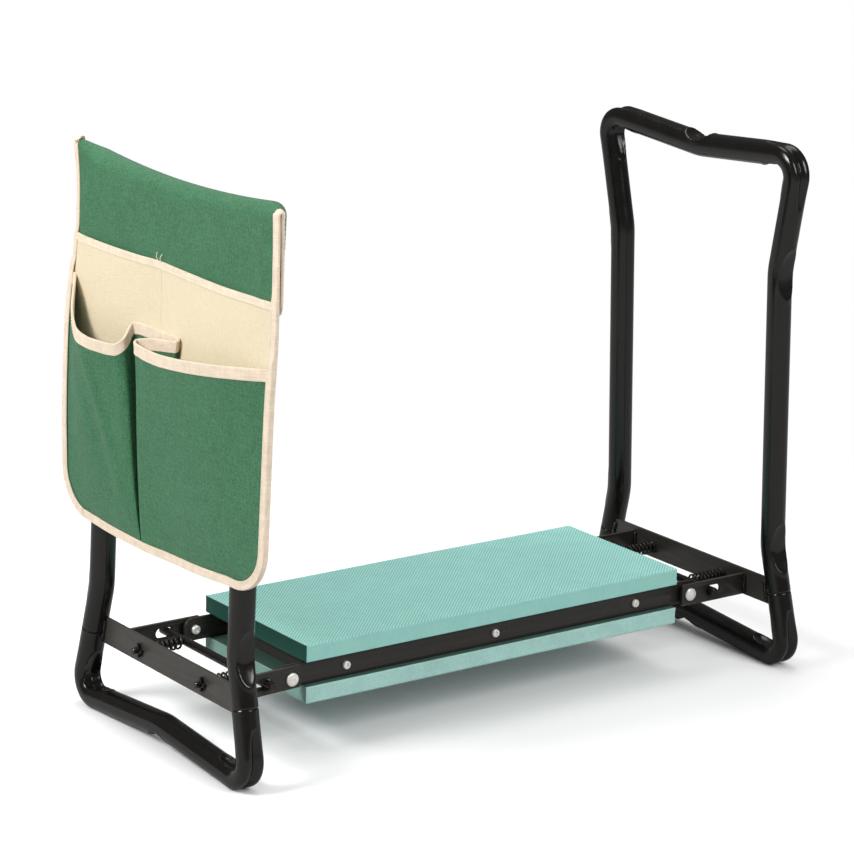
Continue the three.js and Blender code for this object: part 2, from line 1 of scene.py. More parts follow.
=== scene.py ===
"""Looks of a folding garden kneeler seat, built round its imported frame.

Metres, in the frame's own axes: +X along the seat towards the right frame, +Y to the back, +Z up.
The origin is the centre of the upper pad's top face. Arrays hold points as (..., 3).
"""

import math

import bpy
import numpy as np
from mathutils import Matrix, Vector
from mathutils.geometry import tessellate_polygon


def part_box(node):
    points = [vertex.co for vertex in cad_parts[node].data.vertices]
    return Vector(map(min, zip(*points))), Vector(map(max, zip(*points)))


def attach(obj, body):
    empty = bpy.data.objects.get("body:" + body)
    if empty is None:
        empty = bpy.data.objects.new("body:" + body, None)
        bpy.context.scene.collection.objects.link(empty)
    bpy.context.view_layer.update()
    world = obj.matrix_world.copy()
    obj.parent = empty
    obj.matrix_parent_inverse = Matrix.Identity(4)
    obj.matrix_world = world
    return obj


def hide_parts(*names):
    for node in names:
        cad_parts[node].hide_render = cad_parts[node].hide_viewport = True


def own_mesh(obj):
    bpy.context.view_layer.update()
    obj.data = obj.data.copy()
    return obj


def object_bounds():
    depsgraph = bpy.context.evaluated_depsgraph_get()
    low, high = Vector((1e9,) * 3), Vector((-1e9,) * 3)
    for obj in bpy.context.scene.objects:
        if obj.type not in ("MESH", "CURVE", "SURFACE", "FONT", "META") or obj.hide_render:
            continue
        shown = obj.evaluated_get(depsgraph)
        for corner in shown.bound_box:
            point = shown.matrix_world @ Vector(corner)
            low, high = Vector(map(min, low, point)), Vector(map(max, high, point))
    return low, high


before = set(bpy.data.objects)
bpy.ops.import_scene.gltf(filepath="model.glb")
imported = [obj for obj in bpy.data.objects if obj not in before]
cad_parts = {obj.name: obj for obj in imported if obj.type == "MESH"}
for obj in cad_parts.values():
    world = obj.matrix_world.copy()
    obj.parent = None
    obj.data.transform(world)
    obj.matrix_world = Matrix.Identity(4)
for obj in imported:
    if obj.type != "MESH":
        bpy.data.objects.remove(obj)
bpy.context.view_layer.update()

MM = 0.001

# ---------------------------------------------------------------- driving sizes
# They are the frame's, but the photo's bends are tighter at the corners, its feet rise a little
# more in the middle and its lower kinks lie a little higher.

GROUND_Z = -100 * MM
LOOP_X = 290.5 * MM  # where each loop's plane meets the ground
LEAN = 0.035  # radians; each loop leans inwards towards its handle
TUBE_R = 11 * MM
TUBE_WALL = 1.5 * MM
SEAM_H = 74 * MM  # joint of handle tube and foot tube, up the loop
WAIST_Y = 110 * MM
LOWER_KINK_H = 115 * MM
UPPER_KINK_H = 372 * MM
HANDLE_CORNER_Y = 132.5 * MM
HANDLE_TOP_H = 479 * MM
HANDLE_DIP = 10.5 * MM
FOOT_CORNER_Y = 136 * MM
FOOT_PEAK = 10.5 * MM
CORNER_BEND = 18 * MM
KINK_BEND = 60 * MM
DIP_BEND = 70 * MM

DOT_PITCH = 3.4 * MM  # spacing of the dots moulded into the pads' faces

ENDS = {"left": -1, "right": 1}
ROWS = {"front": -1, "rear": 1}
SCREW_PLACES = ("left", "middle", "right")

# ---------------------------------------------------------------- mesh tools


def smoothstep(value, low, high):
    t = np.clip((np.asarray(value, float) - low) / (high - low), 0, 1)
    return t * t * (3 - 2 * t)


def bell(value, width):
    return np.exp(-((np.asarray(value, float) / width) ** 2))


def unit(vectors):
    length = np.linalg.norm(vectors, axis=-1, keepdims=True)
    return vectors / np.maximum(length, 1e-12)


def along(points):
    """Distance walked along a chain of points, starting at 0."""
    steps = np.linalg.norm(np.diff(points, axis=0), axis=1)
    return np.concatenate([[0], np.cumsum(steps)])


def through(knots, value):
    """A smooth curve through (place, height) knots, read at the given places."""
    x, y = np.array(knots, float).T
    slope = np.gradient(y, x)
    value = np.clip(np.asarray(value, float), x[0], x[-1])
    i = np.clip(np.searchsorted(x, value) - 1, 0, len(x) - 2)
    gap = x[i + 1] - x[i]
    t = (value - x[i]) / gap
    start = (1 + 2 * t) * (1 - t) ** 2 * y[i] + t * (1 - t) ** 2 * gap * slope[i]
    end = t * t * (3 - 2 * t) * y[i + 1] + t * t * (t - 1) * gap * slope[i + 1]
    return start + end


def quads(rows, columns, start=0, wrap_rows=False, wrap_columns=False, flip=False):
    r = np.arange(rows if wrap_rows else rows - 1)[:, None]
    c = np.arange(columns if wrap_columns else columns - 1)[None, :]
    up, right = (r + 1) % rows, (c + 1) % columns
    corners = [r * columns + c, r * columns + right, up * columns + right, up * columns + c]
    faces = np.stack(corners, -1).reshape(-1, 4) + start
    return (faces[:, ::-1] if flip else faces).tolist()


def merged(*parts):
    """Several (vertices, faces) parts as one."""
    vertices, faces, start = [], [], 0
    for part_vertices, part_faces in parts:
        vertices.append(np.asarray(part_vertices, float).reshape(-1, 3))
        faces += [[i + start for i in face] for face in part_faces]
        start += len(vertices[-1])
    return np.concatenate(vertices), faces


def volume(vertices, faces):
    total = 0.0
    by_size = {}
    for face in faces:
        by_size.setdefault(len(face), []).append(face)
    for size, group in by_size.items():
        corner = vertices[np.array(group)]
        for k in range(1, size - 1):
            cross = np.cross(corner[:, k], corner[:, k + 1])
            total += np.einsum("ij,ij->", corner[:, 0], cross)
    return total


def add_piece(name, part, material, body, replaces=(), uv=None, sharp=42):
    """Makes a closed, outward-facing mesh object that rides on a body."""
    vertices, faces = part
    vertices = np.asarray(vertices, float).reshape(-1, 3)
    if volume(vertices, faces) < 0:
        faces = [face[::-1] for face in faces]
    mesh = bpy.data.meshes.new(name)
    mesh.from_pydata(vertices.tolist(), [], faces)
    mesh.shade_smooth()
    mesh.set_sharp_from_angle(angle=math.radians(sharp))
    if uv is not None:
        corner_vertex = np.zeros(len(mesh.loops), np.int32)
        mesh.loops.foreach_get("vertex_index", corner_vertex)
        layer = mesh.uv_layers.new(name="cloth")
        layer.data.foreach_set("uv", np.asarray(uv, np.float32)[corner_vertex].ravel())
    mesh.materials.append(material)
    piece = bpy.data.objects.new(name, mesh)
    bpy.context.scene.collection.objects.link(piece)
    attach(piece, body)
    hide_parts(*replaces)
    return piece


def middle(node):
    """The middle of a node's box."""
    low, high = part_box(node)
    return (low + high) / 2


def reach(node, axis):
    """The nearest and the farthest a node comes from the object's middle plane along an axis."""
    low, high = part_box(node)
    return sorted((abs(low[axis]), abs(high[axis])))


def finish_node(name, material, edge):
    """Gives a CAD node its material and rounds its edges."""
    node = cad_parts[name]
    node.data.materials.clear()
    node.data.materials.append(material)
    bevel = node.modifiers.new("edge", "BEVEL")
    bevel.width = edge
    bevel.segments = 2
    bevel.limit_method = "ANGLE"
    bevel.angle_limit = math.radians(50)


def contour_offset(contour, inset):
    """Moves a contour into the material on its left by inset, with mitred corners."""
    before = contour - np.roll(contour, 1, axis=0)
    after = np.roll(contour, -1, axis=0) - contour
    normal_a = unit(np.stack([before[:, 1], -before[:, 0]], 1))
    normal_b = unit(np.stack([after[:, 1], -after[:, 0]], 1))
    share = 1 + np.sum(normal_a * normal_b, axis=1, keepdims=True)
    return contour - inset * (normal_a + normal_b) / share


def wound(contour, anticlockwise):
    contour = np.array(contour, float)
    x, y = contour.T
    area = np.sum(x * np.roll(y, -1) - np.roll(x, -1) * y)
    return contour if (area > 0) == anticlockwise else contour[::-1]


def plate(outline, holes, low, high, edge):
    """A flat plate between two depths with rounded edges, as (a, b, depth) vertices and faces."""
    contours = [wound(outline, True)] + [wound(hole, False) for hole in holes]
    part = 1 - math.sqrt(0.5)
    rounding = [(edge, 0), (edge * part, edge * part), (0, edge)]
    levels = [(inset, low + rise) for inset, rise in rounding]
    levels += [(inset, high - rise) for inset, rise in reversed(rounding)]
    count = sum(len(c) for c in contours)
    vertices, faces = [], []
    for inset, depth in levels:
        ring = np.concatenate([contour_offset(c, inset) for c in contours])
        vertices.append(np.column_stack([ring, np.full(count, depth)]))
    for level in range(len(levels) - 1):
        start = level * count
        for contour in contours:
            n = len(contour)
            for i in range(n):
                a, b = start + i, start + (i + 1) % n
                faces.append([a, b, b + count, a + count])
            start += n
    ends = np.cumsum([len(c) for c in contours])[:-1]
    loops = [[Vector((p[0], p[1], 0)) for p in c] for c in np.split(vertices[0], ends)]
    top = (len(levels) - 1) * count
    for i, j, k in tessellate_polygon(loops):
        a, b, c = vertices[0][i], vertices[0][j], vertices[0][k]
        if (b[0] - a[0]) * (c[1] - a[1]) - (b[1] - a[1]) * (c[0] - a[0]) < 0:
            j, k = k, j
        faces.append([k, j, i])
        faces.append([top + i, top + j, top + k])
    return np.concatenate(vertices), faces


def arc(x, y, radius, start, end, count=10):
    angle = np.radians(np.linspace(start, end, count))
    return [[x + radius * math.cos(a), y + radius * math.sin(a)] for a in angle]


def circle(x, y, radius):
    count = 40
    return arc(x, y, radius, 0, 360 - 360 / count, count)


def tip_fans(first, last, top, segments):
    """Triangles from the tips to the first ring and to the last one, which starts at index top."""
    faces = []
    for i in range(segments):
        following = (i + 1) % segments
        faces.append([first, following, i])
        faces.append([last, top + i, top + following])
    return faces


def lathe(profile, segments=40):
    """Turns (radius, height) points about an axis. They end on the axis, or close on themselves."""
    angle = np.linspace(0, 2 * math.pi, segments, endpoint=False)
    profile = np.array(profile, float)
    poles = profile[0, 0] < 1e-9 and profile[-1, 0] < 1e-9
    body = profile[1:-1] if poles else profile[:-1]
    rings = np.stack([np.outer(body[:, 0], np.cos(angle)), np.outer(body[:, 0], np.sin(angle))], -1)
    heights = np.repeat(body[:, 1], segments).reshape(len(body), segments, 1)
    vertices = np.concatenate([rings, heights], -1).reshape(-1, 3)
    faces = quads(len(body), segments, wrap_rows=not poles, wrap_columns=True)
    if poles:
        count = len(vertices)
        vertices = np.concatenate([vertices, [[0, 0, profile[0, 1]], [0, 0, profile[-1, 1]]]])
        faces += tip_fans(count, count + 1, count - segments, segments)
    return vertices, faces


def sweep(points, radius, segments):
    """A round bar along a chain of points, with rounded-off ends. The radius may vary."""
    points = np.asarray(points, float)
    radius = np.broadcast_to(radius, len(points))
    tangent = unit(np.gradient(points, axis=0))
    normal = np.zeros_like(tangent)
    guess = np.array([0, 0, 1.0]) if abs(tangent[0, 2]) < 0.9 else np.array([1.0, 0, 0])
    for i, t in enumerate(tangent):
        guess = guess - t * (guess @ t)
        guess = guess / np.linalg.norm(guess)
        normal[i] = guess
    side = np.cross(tangent, normal)
    angle = np.linspace(0, 2 * math.pi, segments, endpoint=False)[None, :, None]
    ring = np.cos(angle) * normal[:, None] + np.sin(angle) * side[:, None]
    grid = points[:, None] + radius[:, None, None] * ring
    cap = 0.4 * radius[[0, -1], None] * tangent[[0, -1]] * np.array([[-1], [1]])
    inner = points[[0, -1], None] + cap[:, None] + 0.6 * (grid[[0, -1]] - points[[0, -1], None])
    grid = np.concatenate([inner[:1], grid, inner[1:]])
    tips = points[[0, -1]] + 1.3 * cap
    count = len(grid) * segments
    faces = quads(len(grid), segments, wrap_columns=True)
    faces += tip_fans(count, count + 1, count - segments, segments)
    return np.concatenate([grid.reshape(-1, 3), tips]), faces


def turned(part, matrix):
    """A part moved by a 4x4 matrix."""
    vertices, faces = part
    m = np.array(matrix)
    return np.asarray(vertices) @ m[:3, :3].T + m[:3, 3], faces


def perimeter(rows, columns):
    """Indices round a grid, anticlockwise from its first row."""
    bottom = np.arange(columns)
    right = np.arange(1, rows) * columns + columns - 1
    top = (rows - 1) * columns + np.arange(columns - 2, -1, -1)
    left = np.arange(rows - 2, 0, -1) * columns
    return np.concatenate([bottom, right, top, left])


def shell(front, back):
    """Closed body between two grids of the same shape."""
    rows, columns = front.shape[:2]
    count = rows * columns
    vertices = np.concatenate([front.reshape(-1, 3), back.reshape(-1, 3)])
    faces = quads(rows, columns) + quads(rows, columns, start=count, flip=True)
    rim = perimeter(rows, columns)
    following = np.roll(rim, -1)
    faces += np.stack([rim, rim + count, following + count, following], -1).tolist()
    return vertices, faces


def grid_normals(grid):
    across = np.gradient(grid, axis=1)
    up = np.gradient(grid, axis=0)
    return unit(np.cross(across, up))


def grid_uv(grid):
    """Cloth coordinates in metres: along the columns and up the rows."""
    across = np.linalg.norm(np.diff(grid, axis=1), axis=2)
    up = np.linalg.norm(np.diff(grid, axis=0), axis=2)
    u = np.concatenate([np.zeros((grid.shape[0], 1)), np.cumsum(across, axis=1)], 1)
    v = np.concatenate([np.zeros((1, grid.shape[1])), np.cumsum(up, axis=0)], 0)
    return np.stack([u - u.mean(axis=1, keepdims=True), v], -1).reshape(-1, 2)


def cloth_sheet(grid, thickness):
    """A sheet of cloth round a grid of its mid surface, with its cloth coordinates."""
    offset = grid_normals(grid) * thickness / 2
    uv = grid_uv(grid)
    return shell(grid + offset, grid - offset), np.concatenate([uv, uv])


def edge_tape(points, inward, normal, width, front, back, thickness, closed):
    """Tape folded over a cloth's edge: its two legs lie at front and back of the cloth's middle."""
    front = np.broadcast_to(front, len(points))[:, None]
    back = np.broadcast_to(back, len(points))[:, None]
    middle, half = (front - back) / 2, (front + back) / 2
    loop = []
    for leg, share in ((1, 0.0), (1, 0.5), (1, 0.92), (1, 1.0)):
        loop.append((width * (1 - share), middle + leg * (half + thickness)))
    turn = np.radians([60, 30, 0, -30, -60])
    for a in turn:
        loop.append((-thickness * math.cos(a), middle + (half + thickness * 0.9) * math.sin(a)))
    for share in (1.0, 0.92, 0.5, 0.0):
        loop.append((width * (1 - share), middle - half - thickness))
    loop.append((width, middle - half))
    loop.append((0.3 * thickness, middle - half))
    loop.append((0.3 * thickness, middle + half))
    loop.append((width, middle + half))
    rings = np.stack([points + inward * a + normal * b for a, b in loop], 1)
    rows, columns = rings.shape[:2]
    vertices = rings.reshape(-1, 3)
    faces = quads(rows, columns, wrap_rows=closed, wrap_columns=True)
    if not closed:
        faces.append(list(range(columns))[::-1])
        faces.append(list(range((rows - 1) * columns, rows * columns)))
    walked = along(points)
    around = along(np.array([[float(a), float(np.mean(b))] for a, b in loop]))
    uv = np.stack(np.broadcast_arrays(walked[:, None], around[None, :]), -1).reshape(-1, 2)
    return (vertices, faces), uv


def stitch_row(points, normal, length, gap, radius):
    """A row of short raised stitches along a chain of points on cloth."""
    walked = along(points)
    parts = []
    starts = np.arange(gap, walked[-1] - length, length + gap)
    share = np.array([0, 0.25, 0.5, 0.75, 1.0])
    lift = np.array([-0.3, 0.75, 1.0, 0.75, -0.3]) * radius
    for start in starts:
        place = start + length * share
        centre = np.stack([np.interp(place, walked, c) for c in points.T], 1)
        up = unit(np.stack([np.interp(place, walked, c) for c in normal.T], 1))
        parts.append(sweep(centre + up * lift[:, None], radius, segments=6))
    return merged(*parts)


# ---------------------------------------------------------------- material tools


def new_material(name, colour, roughness, metallic=0.0):
    material = bpy.data.materials.new(name)
    material.use_nodes = True
    tree = material.node_tree
    shader = tree.nodes["Principled BSDF"]
    shader.inputs["Base Color"].default_value = (*colour, 1)
    shader.inputs["Roughness"].default_value = roughness
    shader.inputs["Metallic"].default_value = metallic
    material.diffuse_color = (*colour, 1)
    return material, tree, shader


def add_node(tree, kind, values=None, **settings):
    node = tree.nodes.new(kind)
    for key, value in settings.items():
        setattr(node, key, value)
    for key, value in (values or {}).items():
        node.inputs[key].default_value = value
    return node


def coordinates(tree, kind="Object", scale=(1, 1, 1)):
    source = add_node(tree, "ShaderNodeTexCoord")
    mapping = add_node(tree, "ShaderNodeMapping", {"Scale": scale})
    tree.links.new(source.outputs[kind], mapping.inputs["Vector"])
    return mapping.outputs["Vector"]


def noise(tree, vector, scale, detail=3.0, roughness=0.5):
    values = {"Scale": scale, "Detail": detail, "Roughness": roughness}
    node = add_node(tree, "ShaderNodeTexNoise", values)
    tree.links.new(vector, node.inputs["Vector"])
    return node.outputs["Fac"]


def spread(tree, value, low, high, from_low=0.3, from_high=0.7):
    values = {"From Min": from_low, "From Max": from_high, "To Min": low, "To Max": high}
    node = add_node(tree, "ShaderNodeMapRange", values)
    tree.links.new(value, node.inputs["Value"])
    return node.outputs["Result"]


def calculate(tree, operation, a, b):
    node = add_node(tree, "ShaderNodeMath", operation=operation)
    for socket, value in zip(node.inputs, (a, b)):
        if isinstance(value, (int, float)):
            socket.default_value = value
        else:
            tree.links.new(value, socket)
    return node.outputs["Value"]


def set_colour(tree, socket, colour):
    """Gives a socket a colour, or links it to another colour socket."""
    if hasattr(colour, "links"):
        tree.links.new(colour, socket)
    else:
        socket.default_value = (*colour, 1)


def multiply(tree, *values):
    """The product of some sockets or numbers."""
    result = values[0]
    for value in values[1:]:
        result = calculate(tree, "MULTIPLY", result, value)
    return result


def add(tree, first, second):
    return calculate(tree, "ADD", first, second)


def axes(tree, vector):
    """The X, Y and Z sockets of a vector."""
    split = add_node(tree, "ShaderNodeSeparateXYZ")
    tree.links.new(vector, split.inputs["Vector"])
    return split.outputs


def tint(tree, shader, colour, tone):
    """Gives a shader a colour that is brightened or darkened by a tone socket."""
    node = add_node(tree, "ShaderNodeHueSaturation")
    set_colour(tree, node.inputs["Color"], colour)
    tree.links.new(tone, node.inputs["Value"])
    tree.links.new(node.outputs["Color"], shader.inputs["Base Color"])


def set_inputs(shader, **values):
    """Sets a shader's inputs by their names, with _ for a space."""
    for name, value in values.items():
        shader.inputs[name.replace("_", " ")].default_value = value


def blend_colours(tree, factor, first, second):
    """The first colour where the factor is 0 and the second where it is 1."""
    node = add_node(tree, "ShaderNodeMix", data_type="RGBA")
    sockets = [socket for socket in node.inputs if socket.type == "RGBA"]
    for socket, colour in zip(sockets, (first, second)):
        set_colour(tree, socket, colour)
    tree.links.new(factor, node.inputs["Factor"])
    return next(socket for socket in node.outputs if socket.type == "RGBA")


def add_bump(tree, shader, height, distance, strength=1.0):
    node = add_node(tree, "ShaderNodeBump", {"Distance": distance, "Strength": strength})
    tree.links.new(height, node.inputs["Height"])
    tree.links.new(node.outputs["Normal"], shader.inputs["Normal"])


def ripples(tree, vector, wave, pitch):
    """The product of two waves of the same pitch, along X and along Y."""
    sockets = axes(tree, vector)
    turns = [multiply(tree, sockets[axis], 2 * math.pi / pitch) for axis in ("X", "Y")]
    return multiply(tree, *[calculate(tree, wave, turn, 0.0) for turn in turns])


def weave(tree, pitch):
    """Height of a plain weave in cloth coordinates."""
    return ripples(tree, coordinates(tree, "UV"), "SINE", pitch)


def slubs(tree):
    """Streaks of thicker thread along both directions of a cloth."""
    weft = noise(tree, coordinates(tree, "UV", scale=(60, 900, 1)), 1.0, 2.0)
    warp = noise(tree, coordinates(tree, "UV", scale=(900, 60, 1)), 1.0, 2.0)
    return add(tree, multiply(tree, weft, 0.5), multiply(tree, warp, 0.5))


# ---------------------------------------------------------------- materials


def powder_coat(name, colour, roughness):
    """Black gloss coat with fine orange peel, rubbed a little lighter along sharp edges."""
    material, tree, shader = new_material(name, colour, roughness)
    vector = coordinates(tree)
    uneven = spread(tree, noise(tree, vector, 60, 3.0), roughness - 0.05, roughness + 0.08)
    tree.links.new(uneven, shader.inputs["Roughness"])
    edge = add_node(tree, "ShaderNodeNewGeometry").outputs["Pointiness"]
    wear = spread(tree, edge, 0.0, 1.0, 0.54, 0.60)
    rubbed = [2.6 * c for c in colour]
    tree.links.new(blend_colours(tree, wear, colour, rubbed), shader.inputs["Base Color"])
    set_inputs(shader, Specular_IOR_Level=0.45)
    add_bump(tree, shader, noise(tree, vector, 700, 2.0), 0.00006, 0.3)
    return material


def zinc_plate():
    """Bright plating, a little uneven in tone and gloss."""
    colour = (0.86, 0.84, 0.79)
    material, tree, shader = new_material("zinc_plate", colour, 0.35, 0.35)
    vector = coordinates(tree)
    uneven = spread(tree, noise(tree, vector, 900, 3.0), 0.22, 0.42)
    tree.links.new(uneven, shader.inputs["Roughness"])
    tint(tree, shader, colour, spread(tree, noise(tree, vector, 250, 2.0), 0.88, 1.06))
    add_bump(tree, shader, noise(tree, vector, 2500, 2.0), 0.00004, 0.3)
    return material


def spring_wire():
    colour = (0.03, 0.028, 0.026)
    material, tree, shader = new_material("spring_wire", colour, 0.28, 0.7)
    vector = coordinates(tree)
    tint(tree, shader, colour, spread(tree, noise(tree, vector, 500, 3.0), 0.7, 1.5))
    add_bump(tree, shader, noise(tree, vector, 1800, 2.0), 0.00004, 0.3)
    return material


def black_plastic(name, roughness):
    colour = (0.014, 0.014, 0.014)
    material, tree, shader = new_material(name, colour, roughness)
    vector = coordinates(tree)
    uneven = spread(tree, noise(tree, vector, 200, 4.0), roughness - 0.1, roughness + 0.1)
    tree.links.new(uneven, shader.inputs["Roughness"])
    tint(tree, shader, colour, spread(tree, noise(tree, vector, 40, 4.0), 0.8, 1.3))
    add_bump(tree, shader, noise(tree, vector, 1500, 3.0), 0.00008, 0.5)
    return material


def faced(tree, axis, way):
    """How squarely a surface faces along an axis: way 1 or -1 for one direction, 0 for both."""
    facing = axes(tree, add_node(tree, "ShaderNodeTexCoord").outputs["Normal"])[axis]
    if way == 0:
        return calculate(tree, "ABSOLUTE", facing, 0.0)
    return multiply(tree, facing, way)


def dot_hollow_shade(tree, vector, face):
    """Painted shade between the moulded dots, darker in their hollows; even on the cut sides."""
    even = 0.94
    dots = spread(tree, ripples(tree, vector, "COSINE", DOT_PITCH), 0.50, 1.18, -0.8, 0.4)
    flat = spread(tree, faced(tree, "Z", face), 0.0, 1.0, 0.3, 0.6)
    return add(tree, multiply(tree, calculate(tree, "SUBTRACT", dots, even), flat), even)


# Painted shade: each pad's face towards the board is darkened, because the gap between the pads
# lies in shade.
BOARD_FACE_SHADE = (0.055, 0.115, 0.090)  # each pad's face towards the board


def mint_foam(name, colour, painted_end_shade, mottle, face):
    """Closed-cell foam: fine cells, soft mottling and a surface that scatters a little light; its
    end faces and its face towards the board carry painted shade.
    """
    material, tree, shader = new_material(name, colour, 0.62)
    vector = coordinates(tree)
    patches = noise(tree, vector, 45, 4.0, 0.6)
    speckle = noise(tree, vector, 420, 3.0, 0.7)
    grain = add(tree, multiply(tree, patches, 0.5), multiply(tree, speckle, 0.5))
    tone = spread(tree, grain, 1 - mottle, 1 + mottle, 0.38, 0.62)
    # Painted shade: the end faces are darkened, on both pads and at both ends.
    ends = spread(tree, faced(tree, "X", 0), 0.0, 1.0, 0.6, 0.8)
    # Painted shade on the face towards the board.
    board_face_shade_mask = spread(tree, faced(tree, "Z", -face), 0.0, 1.0, 0.6, 0.8)
    colour_with_painted_shade = blend_colours(tree, board_face_shade_mask, blend_colours(tree, ends, colour, painted_end_shade), BOARD_FACE_SHADE)
    tint(tree, shader, colour_with_painted_shade, multiply(tree, tone, dot_hollow_shade(tree, vector, face)))
    set_inputs(shader, Specular_IOR_Level=0.35, Subsurface_Weight=0.12)
    set_inputs(shader, Subsurface_Radius=(0.002, 0.003, 0.003))
    add_bump(tree, shader, noise(tree, vector, 1600, 3.0, 0.7), 0.00015, 0.45)
    return material


def woven_cloth(name, colour, pitch, contrast, sheen):
    """Plain-weave polyester with slubs, soft fading and a little sheen."""
    material, tree, shader = new_material(name, colour, 0.72)
    threads = weave(tree, pitch)
    streaks = slubs(tree)
    fading = noise(tree, coordinates(tree), 28, 4.0, 0.55)
    mottle = noise(tree, coordinates(tree), 520, 3.0, 0.75)
    slub_tone = spread(tree, streaks, 1 - 0.5 * contrast, 1 + 0.5 * contrast, 0.35, 0.65)
    fade_tone = spread(tree, fading, 1 - 0.15 * contrast, 1 + 0.15 * contrast)
    mottle_tone = spread(tree, mottle, 1 - contrast, 1 + contrast)
    tint(tree, shader, colour, multiply(tree, slub_tone, fade_tone, mottle_tone))
    set_inputs(shader, Specular_IOR_Level=0.3, Sheen_Weight=sheen, Sheen_Roughness=0.45)
    add_bump(tree, shader, add(tree, threads, multiply(tree, streaks, 2.0)), 0.00025, 0.85)
    return material


def woven_tape(name, colour, pitch):
    """Ribbed edge tape."""
    material, tree, shader = new_material(name, colour, 0.7)
    ribs = weave(tree, pitch)
    streaks = slubs(tree)
    patches = noise(tree, coordinates(tree), 120, 3.0)
    tone = multiply(tree, spread(tree, streaks, 0.86, 1.1), spread(tree, patches, 0.93, 1.06))
    tint(tree, shader, colour, tone)
    set_inputs(shader, Sheen_Weight=0.12)
    add_bump(tree, shader, add(tree, ribs, multiply(tree, streaks, 1.5)), 0.0003, 0.7)
    return material


def fine_pile(name, colour, roughness, grain, tones, sheen, bump):
    """Fibres too fine to model. grain: (scale, detail, roughness); bump: (distance, strength)."""
    material, tree, shader = new_material(name, colour, roughness)
    fibres = noise(tree, coordinates(tree), *grain)
    tint(tree, shader, colour, spread(tree, fibres, *tones))
    set_inputs(shader, Sheen_Weight=sheen)
    add_bump(tree, shader, fibres, *bump)
    return material


def mixed_shader(tree, factor, first, second):
    node = add_node(tree, "ShaderNodeMixShader")
    for socket, value in zip(node.inputs, (factor, first, second)):
        tree.links.new(value, socket)
    return node.outputs["Shader"]


def studio_floor():
    """Pale floor that fades to pure white away from the object and bounces little light back."""
    colour = (0.92, 0.92, 0.92)
    material, tree, shader = new_material("studio_floor", colour, 0.9)
    vector = coordinates(tree)
    tint(tree, shader, colour, spread(tree, noise(tree, vector, 3, 2.0), 0.99, 1.0))
    set_inputs(shader, Specular_IOR_Level=0.0)
    away = add_node(tree, "ShaderNodeVectorMath", operation="LENGTH")
    tree.links.new(vector, away.inputs[0])
    fade = spread(tree, away.outputs["Value"], 0.0, 1.0, 0.45, 0.95)
    glow = add_node(tree, "ShaderNodeEmission", {"Strength": 1.0}).outputs["Emission"]
    seen = mixed_shader(tree, fade, shader.outputs["BSDF"], glow)
    dim = add_node(tree, "ShaderNodeBsdfDiffuse", {"Color": (0.42, 0.42, 0.42, 1)}).outputs["BSDF"]
    to_camera = add_node(tree, "ShaderNodeLightPath").outputs["Is Camera Ray"]
    surface = mixed_shader(tree, to_camera, dim, seen)
    tree.links.new(surface, tree.nodes["Material Output"].inputs["Surface"])
    return material


# One black coat in two copies: the flat parts' copy is painted lighter, as painted light where
# their faces meet the lamps, and is a little rougher; the tubes' copy is darker.
COAT = powder_coat("black_powder_coat", (0.0050, 0.0044, 0.0034), 0.18)
FLAT_COAT_PAINTED_LIGHTER = powder_coat("black_flat_coat_painted_lighter", (0.0190, 0.0170, 0.0145), 0.32)
ZINC = zinc_plate()
WIRE = spring_wire()
NYLON = black_plastic("nylon", 0.45)
BOARD = black_plastic("board_plastic", 0.6)
# The end colours are painted shade on the pads' end faces.
FOAM_TOP = mint_foam("mint_foam", (0.32, 0.64, 0.58), (0.0167, 0.110, 0.077), 0.05, 1)
FOAM_LOW = mint_foam("mint_foam_worn", (0.40, 0.66, 0.61), (0.23, 0.40, 0.345), 0.10, -1)
GREEN = woven_cloth("green_cloth", (0.045, 0.176, 0.080), 1.3 * MM, 0.36, 0.12)
CREAM = woven_cloth("cream_cloth", (0.85, 0.74, 0.52), 1.3 * MM, 0.06, 0.05)
TAPE = woven_tape("peach_tape", (0.92, 0.76, 0.59), 1.1 * MM)
CREAM_TAPE = woven_tape("cream_tape", (0.93, 0.79, 0.60), 1.1 * MM)
PILE = fine_pile("hook_and_loop_pile", (0.02, 0.045, 0.03), 0.9,
                 (1400, 4.0, 0.8), (0.5, 1.6), 0.4, (0.0006, 0.9))
THREAD = fine_pile("sewing_thread", (0.86, 0.76, 0.62), 0.6,
                   (2600, 2.0), (0.85, 1.08), 0.2, (0.0001, 0.6))

# ---------------------------------------------------------------- end loops: bent tubes


def from_loop(side, out, y, h):
    """Points given out of a loop's plane, across it and up it, in the frame's axes."""
    x = LOOP_X + out * math.cos(LEAN) - h * math.sin(LEAN)
    z = GROUND_Z + out * math.sin(LEAN) + h * math.cos(LEAN)
    return np.stack(np.broadcast_arrays(side * x, y, z), -1)


def leg_y(h):
    share = (h - TUBE_R) / (LOWER_KINK_H - TUBE_R)
    return FOOT_CORNER_Y + (WAIST_Y - FOOT_CORNER_Y) * share


